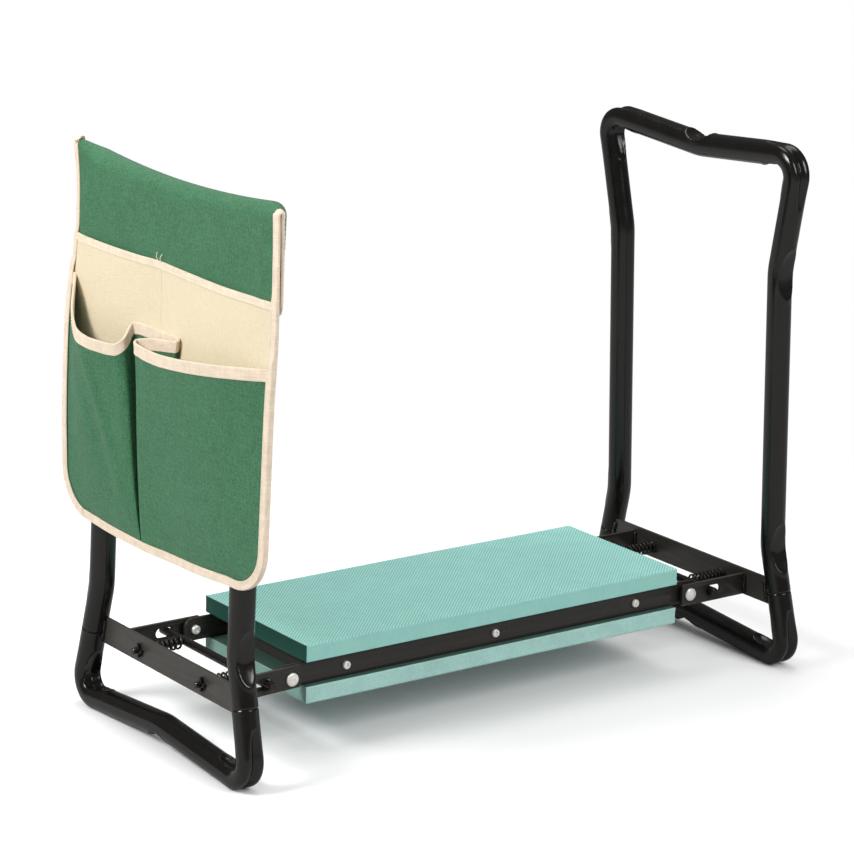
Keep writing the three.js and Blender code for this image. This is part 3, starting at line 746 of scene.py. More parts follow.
def rounded_path(corners):
    """Fine points along a chain of (y, h, bend radius) corners, and each bend's place on it."""
    points = [np.array(corners[0][:2], float)[None]]
    middles = []
    for i in range(1, len(corners) - 1):
        here = np.array(corners[i][:2])
        towards = unit(np.array(corners[i - 1][:2]) - here)
        onwards = unit(np.array(corners[i + 1][:2]) - here)
        radius = corners[i][2]
        turn = math.pi - math.acos(np.clip(towards @ onwards, -1, 1))
        centre = here + unit(towards + onwards) * radius / math.cos(turn / 2)
        start = here + towards * radius * math.tan(turn / 2) - centre
        end = here + onwards * radius * math.tan(turn / 2) - centre
        side = np.sign(start[0] * end[1] - start[1] * end[0])
        angle = side * np.linspace(0, turn, max(8, int(turn * radius / (0.5 * MM))))
        cos, sin = np.cos(angle), np.sin(angle)
        bend = np.stack([start[0] * cos - start[1] * sin, start[0] * sin + start[1] * cos], 1)
        points.append(centre + bend)
        middles.append(centre + bend[len(bend) // 2])
    points.append(np.array(corners[-1][:2], float)[None])
    chain = np.concatenate(points)
    walked = along(chain)
    places = [walked[np.argmin(np.linalg.norm(chain - m, axis=1))] for m in middles]
    return chain, walked, places


def stations(length, places):
    """Places along a tube, close together near its bends and closest at its ends."""
    values = [0.0]
    while values[-1] < length:
        here = values[-1]
        if min(here, length - here) < 5 * MM:
            step = 0.35 * MM
        elif min(abs(here - p) for p in places) < 42 * MM:
            step = 1.3 * MM
        else:
            step = 5 * MM
        values.append(here + step)
    values[-1] = length
    return np.array(values)


def kink_dent(s, angle):
    """Crushed inside of a shallow bend: one long dimple with a soft fold and a raised rim."""
    half_length, half_angle, depth = 24 * MM, 0.88, 4.2 * MM
    away = np.hypot(s / half_length, angle / half_angle)
    fold = 1 - 0.22 * bell(s - 2 * MM, 8 * MM)
    rim = 0.5 * MM * bell(away - 1.05, 0.12)
    return rim - depth * np.clip(1 - away**2, 0, 1) ** 0.85 * fold


def saddle_dent(s, angle):
    """The notch pressed into the outside of a bar where it is bent inwards."""
    half_length, half_angle, depth = 17 * MM, 1.15, 7 * MM
    away = np.hypot(s / half_length, angle / half_angle)
    return 0.5 * MM * bell(away - 1.06, 0.12) - depth * np.clip(1 - away**2, 0, 1) ** 0.8


def corner_dents(s, angle, inner_angle):
    """Crushed tight bend: a deep dent inside it and a pointed groove along its outside."""
    dent_reach, groove_reach, depth = 38 * MM, 40 * MM, 5.4 * MM
    away = (np.abs(s) / dent_reach) ** 4 + (inner_angle / 0.8) ** 2
    dent = -depth * np.clip(1 - away, 0, 1) ** 0.7
    rim = 0.45 * MM * bell(np.sqrt(away) - 1.05, 0.12)
    point = np.clip(1 - (s / groove_reach) ** 2, 0, 1)
    groove = -depth * point**0.55 * bell(angle, 0.14 + 0.34 * point)
    ridges = 0.5 * MM * point * bell(np.abs(angle) - 0.2 - 0.62 * point, 0.2)
    lobes = 0.6 * MM * bell(s, 24 * MM) * np.sin(angle) ** 2
    return dent + rim + groove + ridges + lobes


def tube_radius(s, angle, length, places, kinds):
    inner_angle = np.abs(np.mod(angle, 2 * math.pi) - math.pi)
    radius = np.full(np.broadcast_shapes(s.shape, angle.shape), TUBE_R)
    for place, kind in zip(places, kinds):
        if kind == "corner":
            radius = radius + corner_dents(s - place, angle, inner_angle)
        elif kind == "dip":
            radius = radius + saddle_dent(s - place, angle)
        else:
            radius = radius + kink_dent(s - place, angle)
    to_end = np.minimum(s, length - s)
    return radius - 0.55 * MM * bell(to_end, 0.55 * MM)


def bent_tube(side, corners, kinds, outward):
    """A hollow tube along a loop's path. outward is 1 where the loop's outside is on the left."""
    chain, walked, places = rounded_path(corners)
    s = stations(walked[-1], places)
    centre = np.stack([np.interp(s, walked, c) for c in chain.T], 1)
    tangent = unit(np.gradient(centre, s, axis=0))
    outside = outward * np.stack([-tangent[:, 1], tangent[:, 0]], 1)
    segments = 56
    angle = np.linspace(-math.pi, math.pi, segments, endpoint=False)[None, :]
    radius = tube_radius(s[:, None], angle, walked[-1], places, kinds)
    grids = []
    for wall in (0, TUBE_WALL):
        r = radius - wall
        across = centre[:, None, 0] + r * np.cos(angle) * outside[:, None, 0]
        up = centre[:, None, 1] + r * np.cos(angle) * outside[:, None, 1]
        grids.append(from_loop(side, r * np.sin(angle), across, up))
    rows = len(s)
    count = rows * segments
    faces = quads(rows, segments, wrap_columns=True)
    faces += quads(rows, segments, start=count, wrap_columns=True, flip=True)
    last = (rows - 1) * segments
    for i in range(segments):
        j = (i + 1) % segments
        faces.append([j, i, count + i, count + j])
        faces.append([last + i, last + j, count + last + j, count + last + i])
    return np.concatenate([g.reshape(-1, 3) for g in grids]), faces


def handle_tube(side):
    half = [
        (-leg_y(SEAM_H), SEAM_H),
        (-WAIST_Y, LOWER_KINK_H, KINK_BEND),
        (-WAIST_Y, UPPER_KINK_H, KINK_BEND),
        (-HANDLE_CORNER_Y, HANDLE_TOP_H, CORNER_BEND),
    ]
    other = [(-c[0], *c[1:]) for c in reversed(half)]
    corners = half + [(0, HANDLE_TOP_H - HANDLE_DIP, DIP_BEND)] + other
    kinds = ["kink", "kink", "corner", "dip", "corner", "kink", "kink"]
    return bent_tube(side, corners, kinds, 1)


def foot_tube(side):
    top = SEAM_H - 0.3 * MM
    corners = [
        (-leg_y(top), top),
        (-FOOT_CORNER_Y, TUBE_R, CORNER_BEND),
        (0, TUBE_R + FOOT_PEAK, DIP_BEND),
        (FOOT_CORNER_Y, TUBE_R, CORNER_BEND),
        (leg_y(top), top),
    ]
    bend = bent_tube(side, corners, ["corner", "dip", "corner"], -1)
    return merged(bend, spigot(side, -1), spigot(side, 1))


def spigot(side, way):
    """The narrowed end of a foot tube that plugs into the handle tube."""
    outer, inner = 8.4 * MM, 7 * MM
    profile = [(inner, -6 * MM), (outer, -6 * MM), (outer, 27 * MM), (outer - 0.6 * MM, 28 * MM),
               (inner, 28 * MM), (inner, -6 * MM)]
    vertices, faces = lathe(profile, 40)
    slope = math.atan2(FOOT_CORNER_Y - WAIST_Y, LOWER_KINK_H - TUBE_R)
    down = vertices[:, 2]
    y = way * (leg_y(SEAM_H) - down * math.sin(slope)) + vertices[:, 1]
    h = SEAM_H + down * math.cos(slope)
    return from_loop(side, vertices[:, 0], y, h), faces


def build_tubes():
    for end, side in ENDS.items():
        for kind, tube in (("handle", handle_tube(side)), ("foot", foot_tube(side))):
            add_piece(f"{end}_bent_{kind}", tube, COAT, f"{end}_frame",
                      [f"{end}_{kind}_tube"], sharp=60)


# ---------------------------------------------------------------- flat steel, rods and fasteners


def in_xz(part):
    """A plate drawn in X and Z with its depth along Y."""
    vertices, faces = part
    return vertices[:, [0, 2, 1]], faces


PIVOT_HOLE_R = 4.35 * MM
SCREW_HOLE_R = 2.35 * MM
RAIL_END = 227 * MM  # half length of a rail above its lips
RAIL_CORNER = 8 * MM
LIP_HEIGHT = 5.2 * MM


def rail(row):
    """A strip with rounded ends and a lip that reaches on below each end."""
    low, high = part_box(f"{row}_rail")
    rivet_place = middle(f"{row}_left_hinge_rivet")
    lip, step = low.z + LIP_HEIGHT, 1.2 * MM
    right = [[high.x, low.z], [high.x, lip - step]] + arc(high.x - step, lip - step, step, 0, 90, 5)
    right += arc(RAIL_END + step, lip + step, step, 270, 180, 5)
    right += arc(RAIL_END - RAIL_CORNER, high.z - RAIL_CORNER, RAIL_CORNER, 0, 90)
    left = [[-x, z] for x, z in reversed(right)]
    screws = [middle(f"{row}_{place}_rail_screw").x for place in SCREW_PLACES]
    holes = [circle(x, rivet_place.z, PIVOT_HOLE_R) for x in (rivet_place.x, -rivet_place.x)]
    holes += [circle(x, rivet_place.z, SCREW_HOLE_R) for x in screws]
    return in_xz(plate(right + left, holes, low.y, high.y, 0.5 * MM))


SLOT_R = 4.5 * MM
SLOT_BEFORE = 4.2 * MM  # how far the slot reaches from the rod's axis, inwards
SLOT_BEYOND = 12.2 * MM  # and outwards, where the rod is pulled
ARM_CORNER = 2.5 * MM
ARM_RISE = {"front_left": 2.2 * MM}  # this arm climbs a little towards its rivet


def arm(row, end):
    """A slotted bar, drawn for the right end and mirrored for the left one."""
    low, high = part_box(f"{row}_{end}_arm")
    inner, outer = reach(f"{row}_{end}_arm", 0)
    rod = abs(middle(f"{end}_lock_rod").x)
    pivot = abs(middle(f"{row}_{end}_hinge_rivet").x)

    def rise(x):
        return ARM_RISE.get(f"{row}_{end}", 0) * (outer - x) / (outer - inner)

    outline = [[outer, low.z], [outer, high.z]]
    outline += arc(inner + ARM_CORNER, high.z - ARM_CORNER, ARM_CORNER, 90, 180)
    outline += arc(inner + ARM_CORNER, low.z + ARM_CORNER, ARM_CORNER, 180, 270)
    hole_z = (low.z + high.z) / 2 + 0.4 * MM
    slot_z = hole_z - rise(rod)
    slot = arc(rod - SLOT_BEFORE + SLOT_R, slot_z, SLOT_R, 90, 270, 20)
    slot += arc(rod + SLOT_BEYOND - SLOT_R, slot_z, SLOT_R, -90, 90, 20)
    holes = [slot, circle(pivot, hole_z - rise(pivot), PIVOT_HOLE_R)]
    vertices, faces = in_xz(plate(outline, holes, low.y, high.y, 0.6 * MM))
    vertices[:, 2] += rise(vertices[:, 0])
    vertices[:, 0] *= ENDS[end]
    return vertices, faces


def lock_rod(end):
    node = f"{end}_lock_rod"
    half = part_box(node)[1].y
    radius, cut = 3.75 * MM, 0.9 * MM
    near_end = [(0, -half), (radius - cut, -half), (radius, cut - half)]
    far_end = [(r, -y) for r, y in reversed(near_end)]
    place = Matrix.Translation(middle(node)) @ Matrix.Rotation(math.pi / 2, 4, "X")
    return turned(lathe(near_end + far_end), place)


def staked_cross(span, waist):
    """Four-pointed outline of a pin's staked end."""
    points = []
    for i in range(4):
        tip = i * math.pi / 2
        for turn, r in ((-0.2, span), (0.2, span), (math.pi / 4, waist)):
            points.append([r * math.cos(tip + turn), r * math.sin(tip + turn)])
    return points


def guide_pin(row, end):
    """Pin through the cross plate, with its outer end staked into a cross."""
    node = f"{row}_{end}_guide_pin"
    inner, outer = reach(node, 0)
    radius, cut = 2.7 * MM, 0.6 * MM
    tip = [(radius, outer - cut), (radius - cut, outer), (0, outer)]
    shank = lathe([(0, inner), (radius, inner)] + tip, 28)
    plate_face = reach(f"{end}_cross_plate", 0)[1] + 0.3 * MM
    cross = plate(staked_cross(6.2 * MM, 3 * MM), [], plate_face, plate_face + 2.6 * MM, 0.35 * MM)
    vertices, faces = merged(shank, cross)
    across, up, out = vertices.T
    _, y, z = middle(node)
    return np.stack([ENDS[end] * out, y + across, z + up], 1), faces


def coil_spring(row, end):
    """A compression spring along X, with its end turns closed."""
    node = f"{row}_{end}_spring"
    low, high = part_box(node)
    inner, outer = reach(node, 0)
    wire, turns = 0.95 * MM, 7
    share = np.linspace(0, 1, turns * 26 + 1)
    rise = share + 0.036 * (bell(share - 1, 0.06) - bell(share, 0.06))
    angle = 2 * math.pi * (turns + 1) * share
    radius = (high.z - low.z) / 2 - wire
    _, y, z = middle(node)
    x = inner + wire + (outer - inner - 2 * wire) * np.clip(rise, 0, 1)
    coil = np.stack([ENDS[end] * x, y + radius * np.cos(angle), z + radius * np.sin(angle)], 1)
    return sweep(coil, wire, 12)


def along_y(part, node, row):
    """Stands a part turned about its own axis on a fastener's axis, heads outwards."""
    x, _, z = middle(node)
    turn = Matrix.Rotation(math.pi / 2 * -ROWS[row], 4, "X")
    return turned(part, Matrix.Translation((x, 0, z)) @ turn)


def rivet(row, end):
    """A flat domed head outside and a rolled, hollowed end inside."""
    node = f"{row}_{end}_hinge_rivet"
    inner, outer = reach(node, 1)
    head, shank, tall, brim = 5.8 * MM, 4 * MM, 2.2 * MM, 0.4 * MM
    turn = np.radians([90, 84, 74, 62, 50, 38, 26, 13])
    dome = [(head * math.sin(a), outer - (tall - brim) * (1 - math.cos(a) ** 0.55)) for a in turn]
    profile = [(0, inner + 1.1 * MM), (1.1 * MM, inner + 0.9 * MM), (1.9 * MM, inner),
               (3 * MM, inner), (shank, inner + 1.1 * MM), (shank, outer - tall),
               (head, outer - tall), *dome, (0, outer)]
    return along_y(lathe(profile, 44), node, row)


def washer(row, end):
    node = f"{row}_{end}_hinge_washer"
    inner, outer = reach(node, 1)
    bore, rim, cut = PIVOT_HOLE_R, 7.5 * MM, 0.4 * MM
    profile = [(bore, inner), (rim - cut, inner), (rim, inner + cut), (rim, outer - cut),
               (rim - cut, outer), (bore, outer), (bore, inner)]
    return along_y(lathe(profile, 44), node, row)


def cross_recess(x, y):
    """Depth of a screw's cross recess at a point of its head."""
    near, far = np.minimum(np.abs(x), np.abs(y)), np.maximum(np.abs(x), np.abs(y))
    arms = smoothstep(0.8 * MM - near, 0, 0.3 * MM) * smoothstep(2.2 * MM - far, 0, 0.5 * MM)
    return 1.3 * MM * arms


def rail_screw(row, place):
    """A pan head with a cross recess on a tapered shank."""
    node = f"{row}_{place}_rail_screw"
    inner, outer = reach(node, 1)
    head, tall, shank = 3.8 * MM, 2.2 * MM, 2 * MM
    base = outer - tall
    crown = [(head * s, outer - 0.12 * MM * s * s) for s in np.linspace(0.72, 0.04, 18)]
    turn = np.radians([90, 70, 50, 30, 12])
    low, curve = base + 0.2 * MM, tall - 0.26 * MM
    shoulder = [(head * (0.72 + 0.28 * math.sin(a)), low + curve * math.cos(a)) for a in turn]
    profile = [(0, inner), (shank, inner + 3 * MM), (shank, base), (head, base)]
    profile += shoulder + crown + [(0, outer)]
    vertices, faces = lathe(profile, 64)
    top = vertices[:, 2] > outer - 0.25 * MM
    vertices[:, 2] -= np.where(top, cross_recess(vertices[:, 0], vertices[:, 1]), 0)
    return along_y((vertices, faces), node, row)


def weld_bead(start, end, radius):
    """Overlapping ripples of weld metal along a short line."""
    start, end = np.array(start), np.array(end)
    length = np.linalg.norm(end - start)
    share = np.linspace(0, 1, max(12, int(length / (0.22 * MM))))
    ripple = 0.68 + 0.32 * np.sqrt(np.abs(np.sin(math.pi * share * length / (2.6 * MM))))
    taper = np.sqrt(np.clip(np.minimum(share, 1 - share) * length / (1.5 * MM), 0.1, 1))
    return sweep(start + (end - start) * share[:, None], radius * ripple * taper, 14)


def frame_welds(end):
    """Beads where the arms meet the cross plate and where the plate meets the legs."""
    side = ENDS[end]
    plate_low, plate_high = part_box(f"{end}_cross_plate")
    inner, outer = reach(f"{end}_cross_plate", 0)
    beads = []
    for row in ROWS:
        low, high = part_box(f"{row}_{end}_arm")
        x = side * (inner - 0.3 * MM)
        for y in (low.y, high.y):
            beads.append(weld_bead((x, y, low.z + 1.5 * MM), (x, y, high.z - 1.5 * MM), 2.6 * MM))
    leg_gap = 10.6 * MM  # from a leg's centre line to the bead
    for way in (-1, 1):
        for x in (inner, outer):
            heights = (plate_low.z + 2 * MM, plate_high.z - 2 * MM)
            ends = [(side * x, way * (leg_y(z - GROUND_Z) - leg_gap), z) for z in heights]
            beads.append(weld_bead(*ends, 2.7 * MM))
    return merged(*beads)


def build_row(row):
    """The rail, screws and hinges of the front or the rear side."""
    add_piece(f"{row}_side_rail", rail(row), FLAT_COAT_PAINTED_LIGHTER, "seat",
              [f"{row}_rail"], sharp=30)
    for place in SCREW_PLACES:
        add_piece(f"{row}_{place}_screw", rail_screw(row, place), ZINC, "seat",
                  [f"{row}_{place}_rail_screw"], sharp=50)
    for end in ENDS:
        pieces = [
            ("rivet", rivet, "hinge_rivet", "seat", ZINC, "zinc", 50),
            ("washer", washer, "hinge_washer", "seat", NYLON, "washer", 42),
            ("slotted_arm", arm, "arm", f"{end}_frame", FLAT_COAT_PAINTED_LIGHTER, "black_coat", 30),
            ("pin", guide_pin, "guide_pin", f"{end}_lock", COAT, "black_coat", 42),
            ("coil", coil_spring, "spring", f"{end}_frame", WIRE, "spring_steel", 42),
        ]
        made = {}
        for name, shape, node, body, material, slot, sharp in pieces:
            made[name] = add_piece(f"{row}_{end}_{name}", shape(row, end), material, body,
                                   [f"{row}_{end}_{node}"], sharp=sharp)
        squash_spring(made["coil"])


def build_metalwork():
    for row in ROWS:
        build_row(row)
    for end in ENDS:
        add_piece(f"{end}_rod", lock_rod(end), COAT, f"{end}_lock",
                  [f"{end}_lock_rod"])
        add_piece(f"{end}_welds", frame_welds(end), COAT, f"{end}_frame", sharp=60)
        finish_node(f"{end}_cross_plate", FLAT_COAT_PAINTED_LIGHTER, 0.5 * MM)
        finish_node(f"{end}_end_bar", FLAT_COAT_PAINTED_LIGHTER, 0.5 * MM)
    finish_node("seat_board", BOARD, 0.8 * MM)


def squash_spring(coil):
    """Gives a spring its own copy of its mesh; the spring is not shortened here."""
    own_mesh(coil)


# ---------------------------------------------------------------- foam pads

DOT_HEIGHT = 0.65 * MM
PAD_EDGE = 0.9 * MM


def pad_dots(x, y):
    """Moulded dots in diagonal rows."""
    bumps = 0.5 + 0.5 * np.cos(2 * math.pi * x / DOT_PITCH) * np.cos(2 * math.pi * y / DOT_PITCH)
    return DOT_HEIGHT * (bumps**1.3 - 1)


def foam_pad(node, face):
    """A foam slab whose outer face (1 is its top, -1 its underside) carries moulded dots."""
    low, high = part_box(node)
    step = DOT_PITCH / 4
    columns = 2 * int(high.x / step) + 1
    rows = 2 * int(high.y / step) + 1
    x = np.linspace(low.x + PAD_EDGE, high.x - PAD_EDGE, columns)
    y = np.linspace(low.y + PAD_EDGE, high.y - PAD_EDGE, rows)
    across, up = np.meshgrid(x, y)
    surface, rest = (high.z, low.z) if face > 0 else (low.z, high.z)
    wander = 0.25 * MM * (np.sin(23 * across + 1) * np.sin(31 * up) - 1)
    z = surface + face * (pad_dots(across, up) + wander)
    grid = np.stack([across, up, z], -1)
    rim = perimeter(rows, columns)
    ring = grid.reshape(-1, 3)[rim]
    outward = unit(np.stack([np.sign(ring[:, 0]) * (np.abs(ring[:, 0]) > high.x - 2 * PAD_EDGE),
                             np.sign(ring[:, 1]) * (np.abs(ring[:, 1]) > high.y - 2 * PAD_EDGE),
                             np.zeros(len(ring))], 1).astype(float))
    layers = [grid.reshape(-1, 3)]
    depth = abs(surface - rest)
    walked = along(ring)
    ripple = 0.12 * MM * np.sin(walked * 70) + 0.08 * MM * np.sin(walked * 190 + 2)
    for out, down in foam_side(depth):
        level = ring + outward * (PAD_EDGE * out + ripple * math.sin(math.pi * down))[:, None]
        top_share = 1 - smoothstep(down, 0, 0.25)
        level[:, 2] = surface - face * down * depth + (ring[:, 2] - surface) * top_share
        layers.append(level)
    count = len(ring)
    faces = quads(rows, columns)
    previous = rim
    start = rows * columns
    for _ in layers[1:]:
        current = np.arange(start, start + count)
        pairs = [previous, current, np.roll(current, -1), np.roll(previous, -1)]
        faces += np.stack(pairs, -1).tolist()
        previous = current
        start += count
    faces.append(previous.tolist()[::-1])
    return np.concatenate(layers), faces


def foam_side(depth):
    """Steps down a pad's side: how far out (in edge radii) and how far down (as a share)."""
    turn = np.radians([30, 60, 90])
    edge = PAD_EDGE / depth
    top = [(math.sin(a), edge * (1 - math.cos(a))) for a in turn]
    middle = [(1 - 0.25 * math.sin(math.pi * s), s) for s in (0.2, 0.35, 0.5, 0.65, 0.8)]
    return top + middle + [(o, 1 - d) for o, d in reversed(top)] + [(0, 1)]


def build_pads():
    pads = [("kneeling_pad", "upper_pad", 1, FOAM_TOP), ("sitting_pad", "lower_pad", -1, FOAM_LOW)]
    for name, node, face, foam in pads:
        add_piece(name, foam_pad(node, face), foam, "seat", [node], sharp=50)


# ---------------------------------------------------------------- tool bag

# The bag is drawn in the left loop's plane: out is the distance outwards from the tubes' centre
# lines, y runs across and h is the height up the loop.

BAG_BOTTOM = 178 * MM
BAG_CORNER = 38 * MM
BAG_DRAPE_R = 12.4 * MM  # from the handle's centre line to the middle of the panel's cloth
BAG_TOP_MIDDLE = 484.5 * MM
CLOTH = 1.0 * MM
FLAP_BOTTOM = 404 * MM
FLAP_CORNER = 26 * MM
CREAM_TOP = 417 * MM
LAYER_GAP = 1.15 * MM  # between the middles of two cloths sewn together
SEAM_Y = 9 * MM
TAPE_WIDTH = 7.2 * MM
TAPE_THICKNESS = 0.6 * MM
MOUTH_TAPE_WIDTH = 9.5 * MM
BAG_PITCH = 3.5 * MM  # spacing of the cloth's mesh
BAG_SIDE = ENDS["left"]
SEWN_RISE = 1.2 * MM  # the pockets' cloths start this far above the panel's lower edge
STITCH_LENGTH = 2.6 * MM
STITCH_GAP = 1.1 * MM
STITCH_INSET = 1.4 * MM  # from a tape's inner edge

# The bag's side edges in mm, as height and y.
FAR_EDGE = [
    (216, 156), (261, 158), (300, 159), (339, 159.5), (380, 156), (415, 152), (445, 152),
    (485, 158),
]
NEAR_EDGE = [
    (216, -160), (282, -161.5), (334, -161), (404, -162.5), (445, -161), (485, -158),
]


def edge_y(h, far):
    """Where the bag's far or near side edge lies at a height, round its lower corner too."""
    knots = [(a * MM, b * MM) for a, b in (FAR_EDGE if far else NEAR_EDGE)]
    way = 1 if far else -1
    y = through(knots, np.maximum(h, BAG_BOTTOM + BAG_CORNER))
    below = np.clip(BAG_BOTTOM + BAG_CORNER - h, 0, BAG_CORNER)
    return y - way * (BAG_CORNER - np.sqrt(BAG_CORNER**2 - below**2))


def bottom_sag(y, h):
    """How far the panel's lower edge hangs below a straight one."""
    sag = -5.5 * MM * np.clip(1 - ((y - 20 * MM) / (130 * MM)) ** 2, 0, 1)
    return sag * np.clip(1 - (h - BAG_BOTTOM) / (70 * MM), 0, 1)


def top_h(y):
    """Height of the cloth's top fold: it spans the handle's dip and stands up past its corners."""
    sag = 7 * MM * (y / HANDLE_CORNER_Y) ** 2
    ear = 3 * MM * smoothstep(y, 130 * MM, 160 * MM) - 7 * MM * smoothstep(-y, 128 * MM, 160 * MM)
    return BAG_TOP_MIDDLE + sag + ear


def fold_r(y):
    """Radius of the fold over the handle; past the handle's corners the cloth pinches together."""
    edge = np.where(y > 0, edge_y(HANDLE_TOP_H, True), -edge_y(HANDLE_TOP_H, False))
    return (BAG_DRAPE_R - wrapped_out(np.abs(y), edge, HANDLE_TOP_H)) / 2


def wrapped_out(y, edge, h):
    """How far out cloth lies that runs taut from the bag's edge round the back of a leg."""
    around, pinch = BAG_DRAPE_R, BAG_DRAPE_R - 3.2 * MM
    lean = (HANDLE_CORNER_Y - WAIST_Y) / (HANDLE_TOP_H - UPPER_KINK_H)
    leg = WAIST_Y + np.minimum(lean * (h - UPPER_KINK_H), 17 * MM)
    reach = np.hypot(edge - leg, pinch)
    slope = np.arctan2(pinch, edge - leg) + np.arcsin(around / reach)
    past = y - leg
    round_leg = -np.sqrt(np.clip(around**2 - np.clip(past, 0, around) ** 2, 0, None))
    taut = pinch - (edge - y) * np.tan(slope)
    return np.where(past > around * np.sin(slope), taut, round_leg)


def panel_out(y, h):
    """How far out the middle of the panel's cloth lies."""
    span = np.clip(1 - (y / (104 * MM)) ** 2, 0, 1)
    low = smoothstep(460 * MM - h, 0, 60 * MM)
    hollow = -2.2 * MM * span * np.sin(math.pi * np.clip((h - 190 * MM) / (270 * MM), 0, 1)) * low
    wave = 1.2 * MM * np.sin(y * 42 + h * 11) * np.sin(h * 21 + 0.7) * low
    fold_line = -139 * MM + (h - 440 * MM) * 0.12
    fold = 1.6 * MM * bell(y - fold_line, 8 * MM) * bell(h - 440 * MM, 36 * MM)
    far_curl = -4.0 * MM * smoothstep(y, 132 * MM, 162 * MM) * bell(h - 425 * MM, 45 * MM)
    return BAG_DRAPE_R + hollow + wave + fold + far_curl


def cream_out(y, h):
    """The upper pocket's cloth, a little slack between its side seams and its middle seam."""
    far, near = edge_y(h, True), edge_y(h, False)
    rear = np.clip((y - SEAM_Y) / (far - SEAM_Y), 0, 1)
    front = np.clip((SEAM_Y - y) / (SEAM_Y - near), 0, 1)
    slack = (2.6 * np.sin(math.pi * rear) ** 1.5 + 2.4 * np.sin(math.pi * front) ** 1.5) * MM
    open_share = smoothstep(h, 300 * MM, 415 * MM)
    return panel_out(y, h) + LAYER_GAP + slack * open_share


def face_heights(top):
    """Heights of mesh rows, close together round the bottom corners."""
    turn = np.linspace(0, math.pi / 2, 12)
    corner = BAG_BOTTOM + BAG_CORNER * (1 - np.cos(turn))
    count = int((top - corner[-1]) / BAG_PITCH)
    return np.concatenate([corner, np.linspace(corner[-1], top, count + 1)[1:]])


def across_bag(h, share):
    """Places across the bag, from its far edge (share 0) to its near edge (share 1)."""
    far, near = edge_y(h, True), edge_y(h, False)
    return far + (near - far) * share


def panel_grid():
    """The panel's middle surface: up the outside, over the handle and down inside as a flap."""
    share = np.linspace(0, 1, 92)[None, :]
    heights = face_heights(HANDLE_TOP_H)[:, None]
    y = across_bag(heights, share)
    top_y = y[-1:]
    radius = fold_r(top_y)
    crest = top_h(top_y) - radius
    lift = (crest - HANDLE_TOP_H) * smoothstep(heights, 380 * MM, HANDLE_TOP_H)
    h = heights + lift + bottom_sag(y, heights)
    out = panel_out(y, heights)
    turn = np.linspace(0, math.pi, 15)[1:, None]
    over_out = BAG_DRAPE_R - radius * (1 - np.cos(turn))
    over_h = crest + radius * np.sin(turn)
    over_y = np.broadcast_to(top_y, over_h.shape)
    down = np.linspace(0, 1, 22)[1:, None]
    flap_h = crest + (flap_bottom(top_y) - crest) * down
    flap_y = across_bag(flap_h, share)
    flap = flap_out(flap_y, flap_h, crest)
    rounds = [(out, over_out, flap), (y, over_y, flap_y), (h, over_h, flap_h)]
    return from_loop(BAG_SIDE, *[np.concatenate(grids) for grids in rounds])


def flap_bottom(y):
    """Height of the inner flap's lower edge, with rounded corners."""
    edge = np.where(y > 0, edge_y(FLAP_BOTTOM, True), -edge_y(FLAP_BOTTOM, False))
    into = np.clip(np.abs(y) - edge + FLAP_CORNER, 0, FLAP_CORNER)
    return FLAP_BOTTOM + FLAP_CORNER - np.sqrt(FLAP_CORNER**2 - into**2)


def flap_out(y, h, crest):
    """The inner flap closes under the handle between the legs and passes inside them."""
    closed = 1 - smoothstep(np.abs(y), 80 * MM, 103 * MM)
    reach = smoothstep(crest - 4 * MM - h, 0, 40 * MM)
    edge = np.where(y > 0, edge_y(h, True), -edge_y(h, False))
    start = wrapped_out(np.abs(y), edge, h)
    return start + closed * reach * (8.9 * MM - start)


def cream_grid():
    """The upper pocket's middle surface: sewn in at its sides and foot, open at its wavy mouth."""
    share = np.linspace(0.006, 0.994, 92)[None, :]
    heights = face_heights(CREAM_TOP)[:, None]
    y = across_bag(heights, share)
    mouth = 0.8 * MM * bell(y - 12 * MM, 20 * MM) - 0.6 * MM * bell(y + 88 * MM, 38 * MM)
    wave = mouth * smoothstep(heights, 370 * MM, CREAM_TOP)
    hem = SEWN_RISE * (heights < BAG_BOTTOM + 1 * MM)
    h = heights + wave + bottom_sag(y, heights) + hem
    return from_loop(BAG_SIDE, cream_out(y, heights), y, h)


# Mouth and foot of each lower pocket from its rear to its front end, in mm: y, the distance in
# front of the cream cloth and, for a mouth, the height.
REAR_MOUTH = [
    (158, 0.9, 383), (150.5, 1.1, 382), (144, 3.5, 380), (133, 9.5, 373), (118, 17.5, 358),
    (104, 21.5, 347), (86, 23, 342.5), (68, 22.8, 342), (53, 22, 342.5), (44, 20.5, 344.5),
    (41, 17.5, 348), (42.5, 12, 353), (46, 6.5, 358), (46.5, 4, 360), (42, 2.6, 361),
    (28, 1.8, 361), (9, 1.4, 361),
]
REAR_FOOT = [
    (158, 0.9), (150.5, 0.9), (144, 0.9), (133, 0.95), (118, 1), (104, 1), (86, 1.05), (68, 1.15),
    (52, 1.3), (34, 1.6), (26, 1.9), (25, 1.9), (25.5, 1.7), (25.5, 1.4), (24, 1.2), (16, 1.1),
    (9, 0.9),
]
FRONT_MOUTH = [
    (9, 1.4, 361), (-3, 1.5, 361), (-18, 1.7, 361), (-24, 2.6, 360.5), (-25, 4.4, 359.5),
    (-20, 5.8, 358.5), (-3, 6.8, 356), (16, 7.8, 353), (26, 9.2, 351), (29, 12, 350),
    (26, 15.2, 349), (15, 17.2, 348), (-8, 18, 347.5), (-42, 17.5, 350), (-80, 15, 354),
    (-115, 11, 358.5), (-142, 4.6, 362), (-152.5, 1.2, 363.5), (-160, 0.9, 364),
]
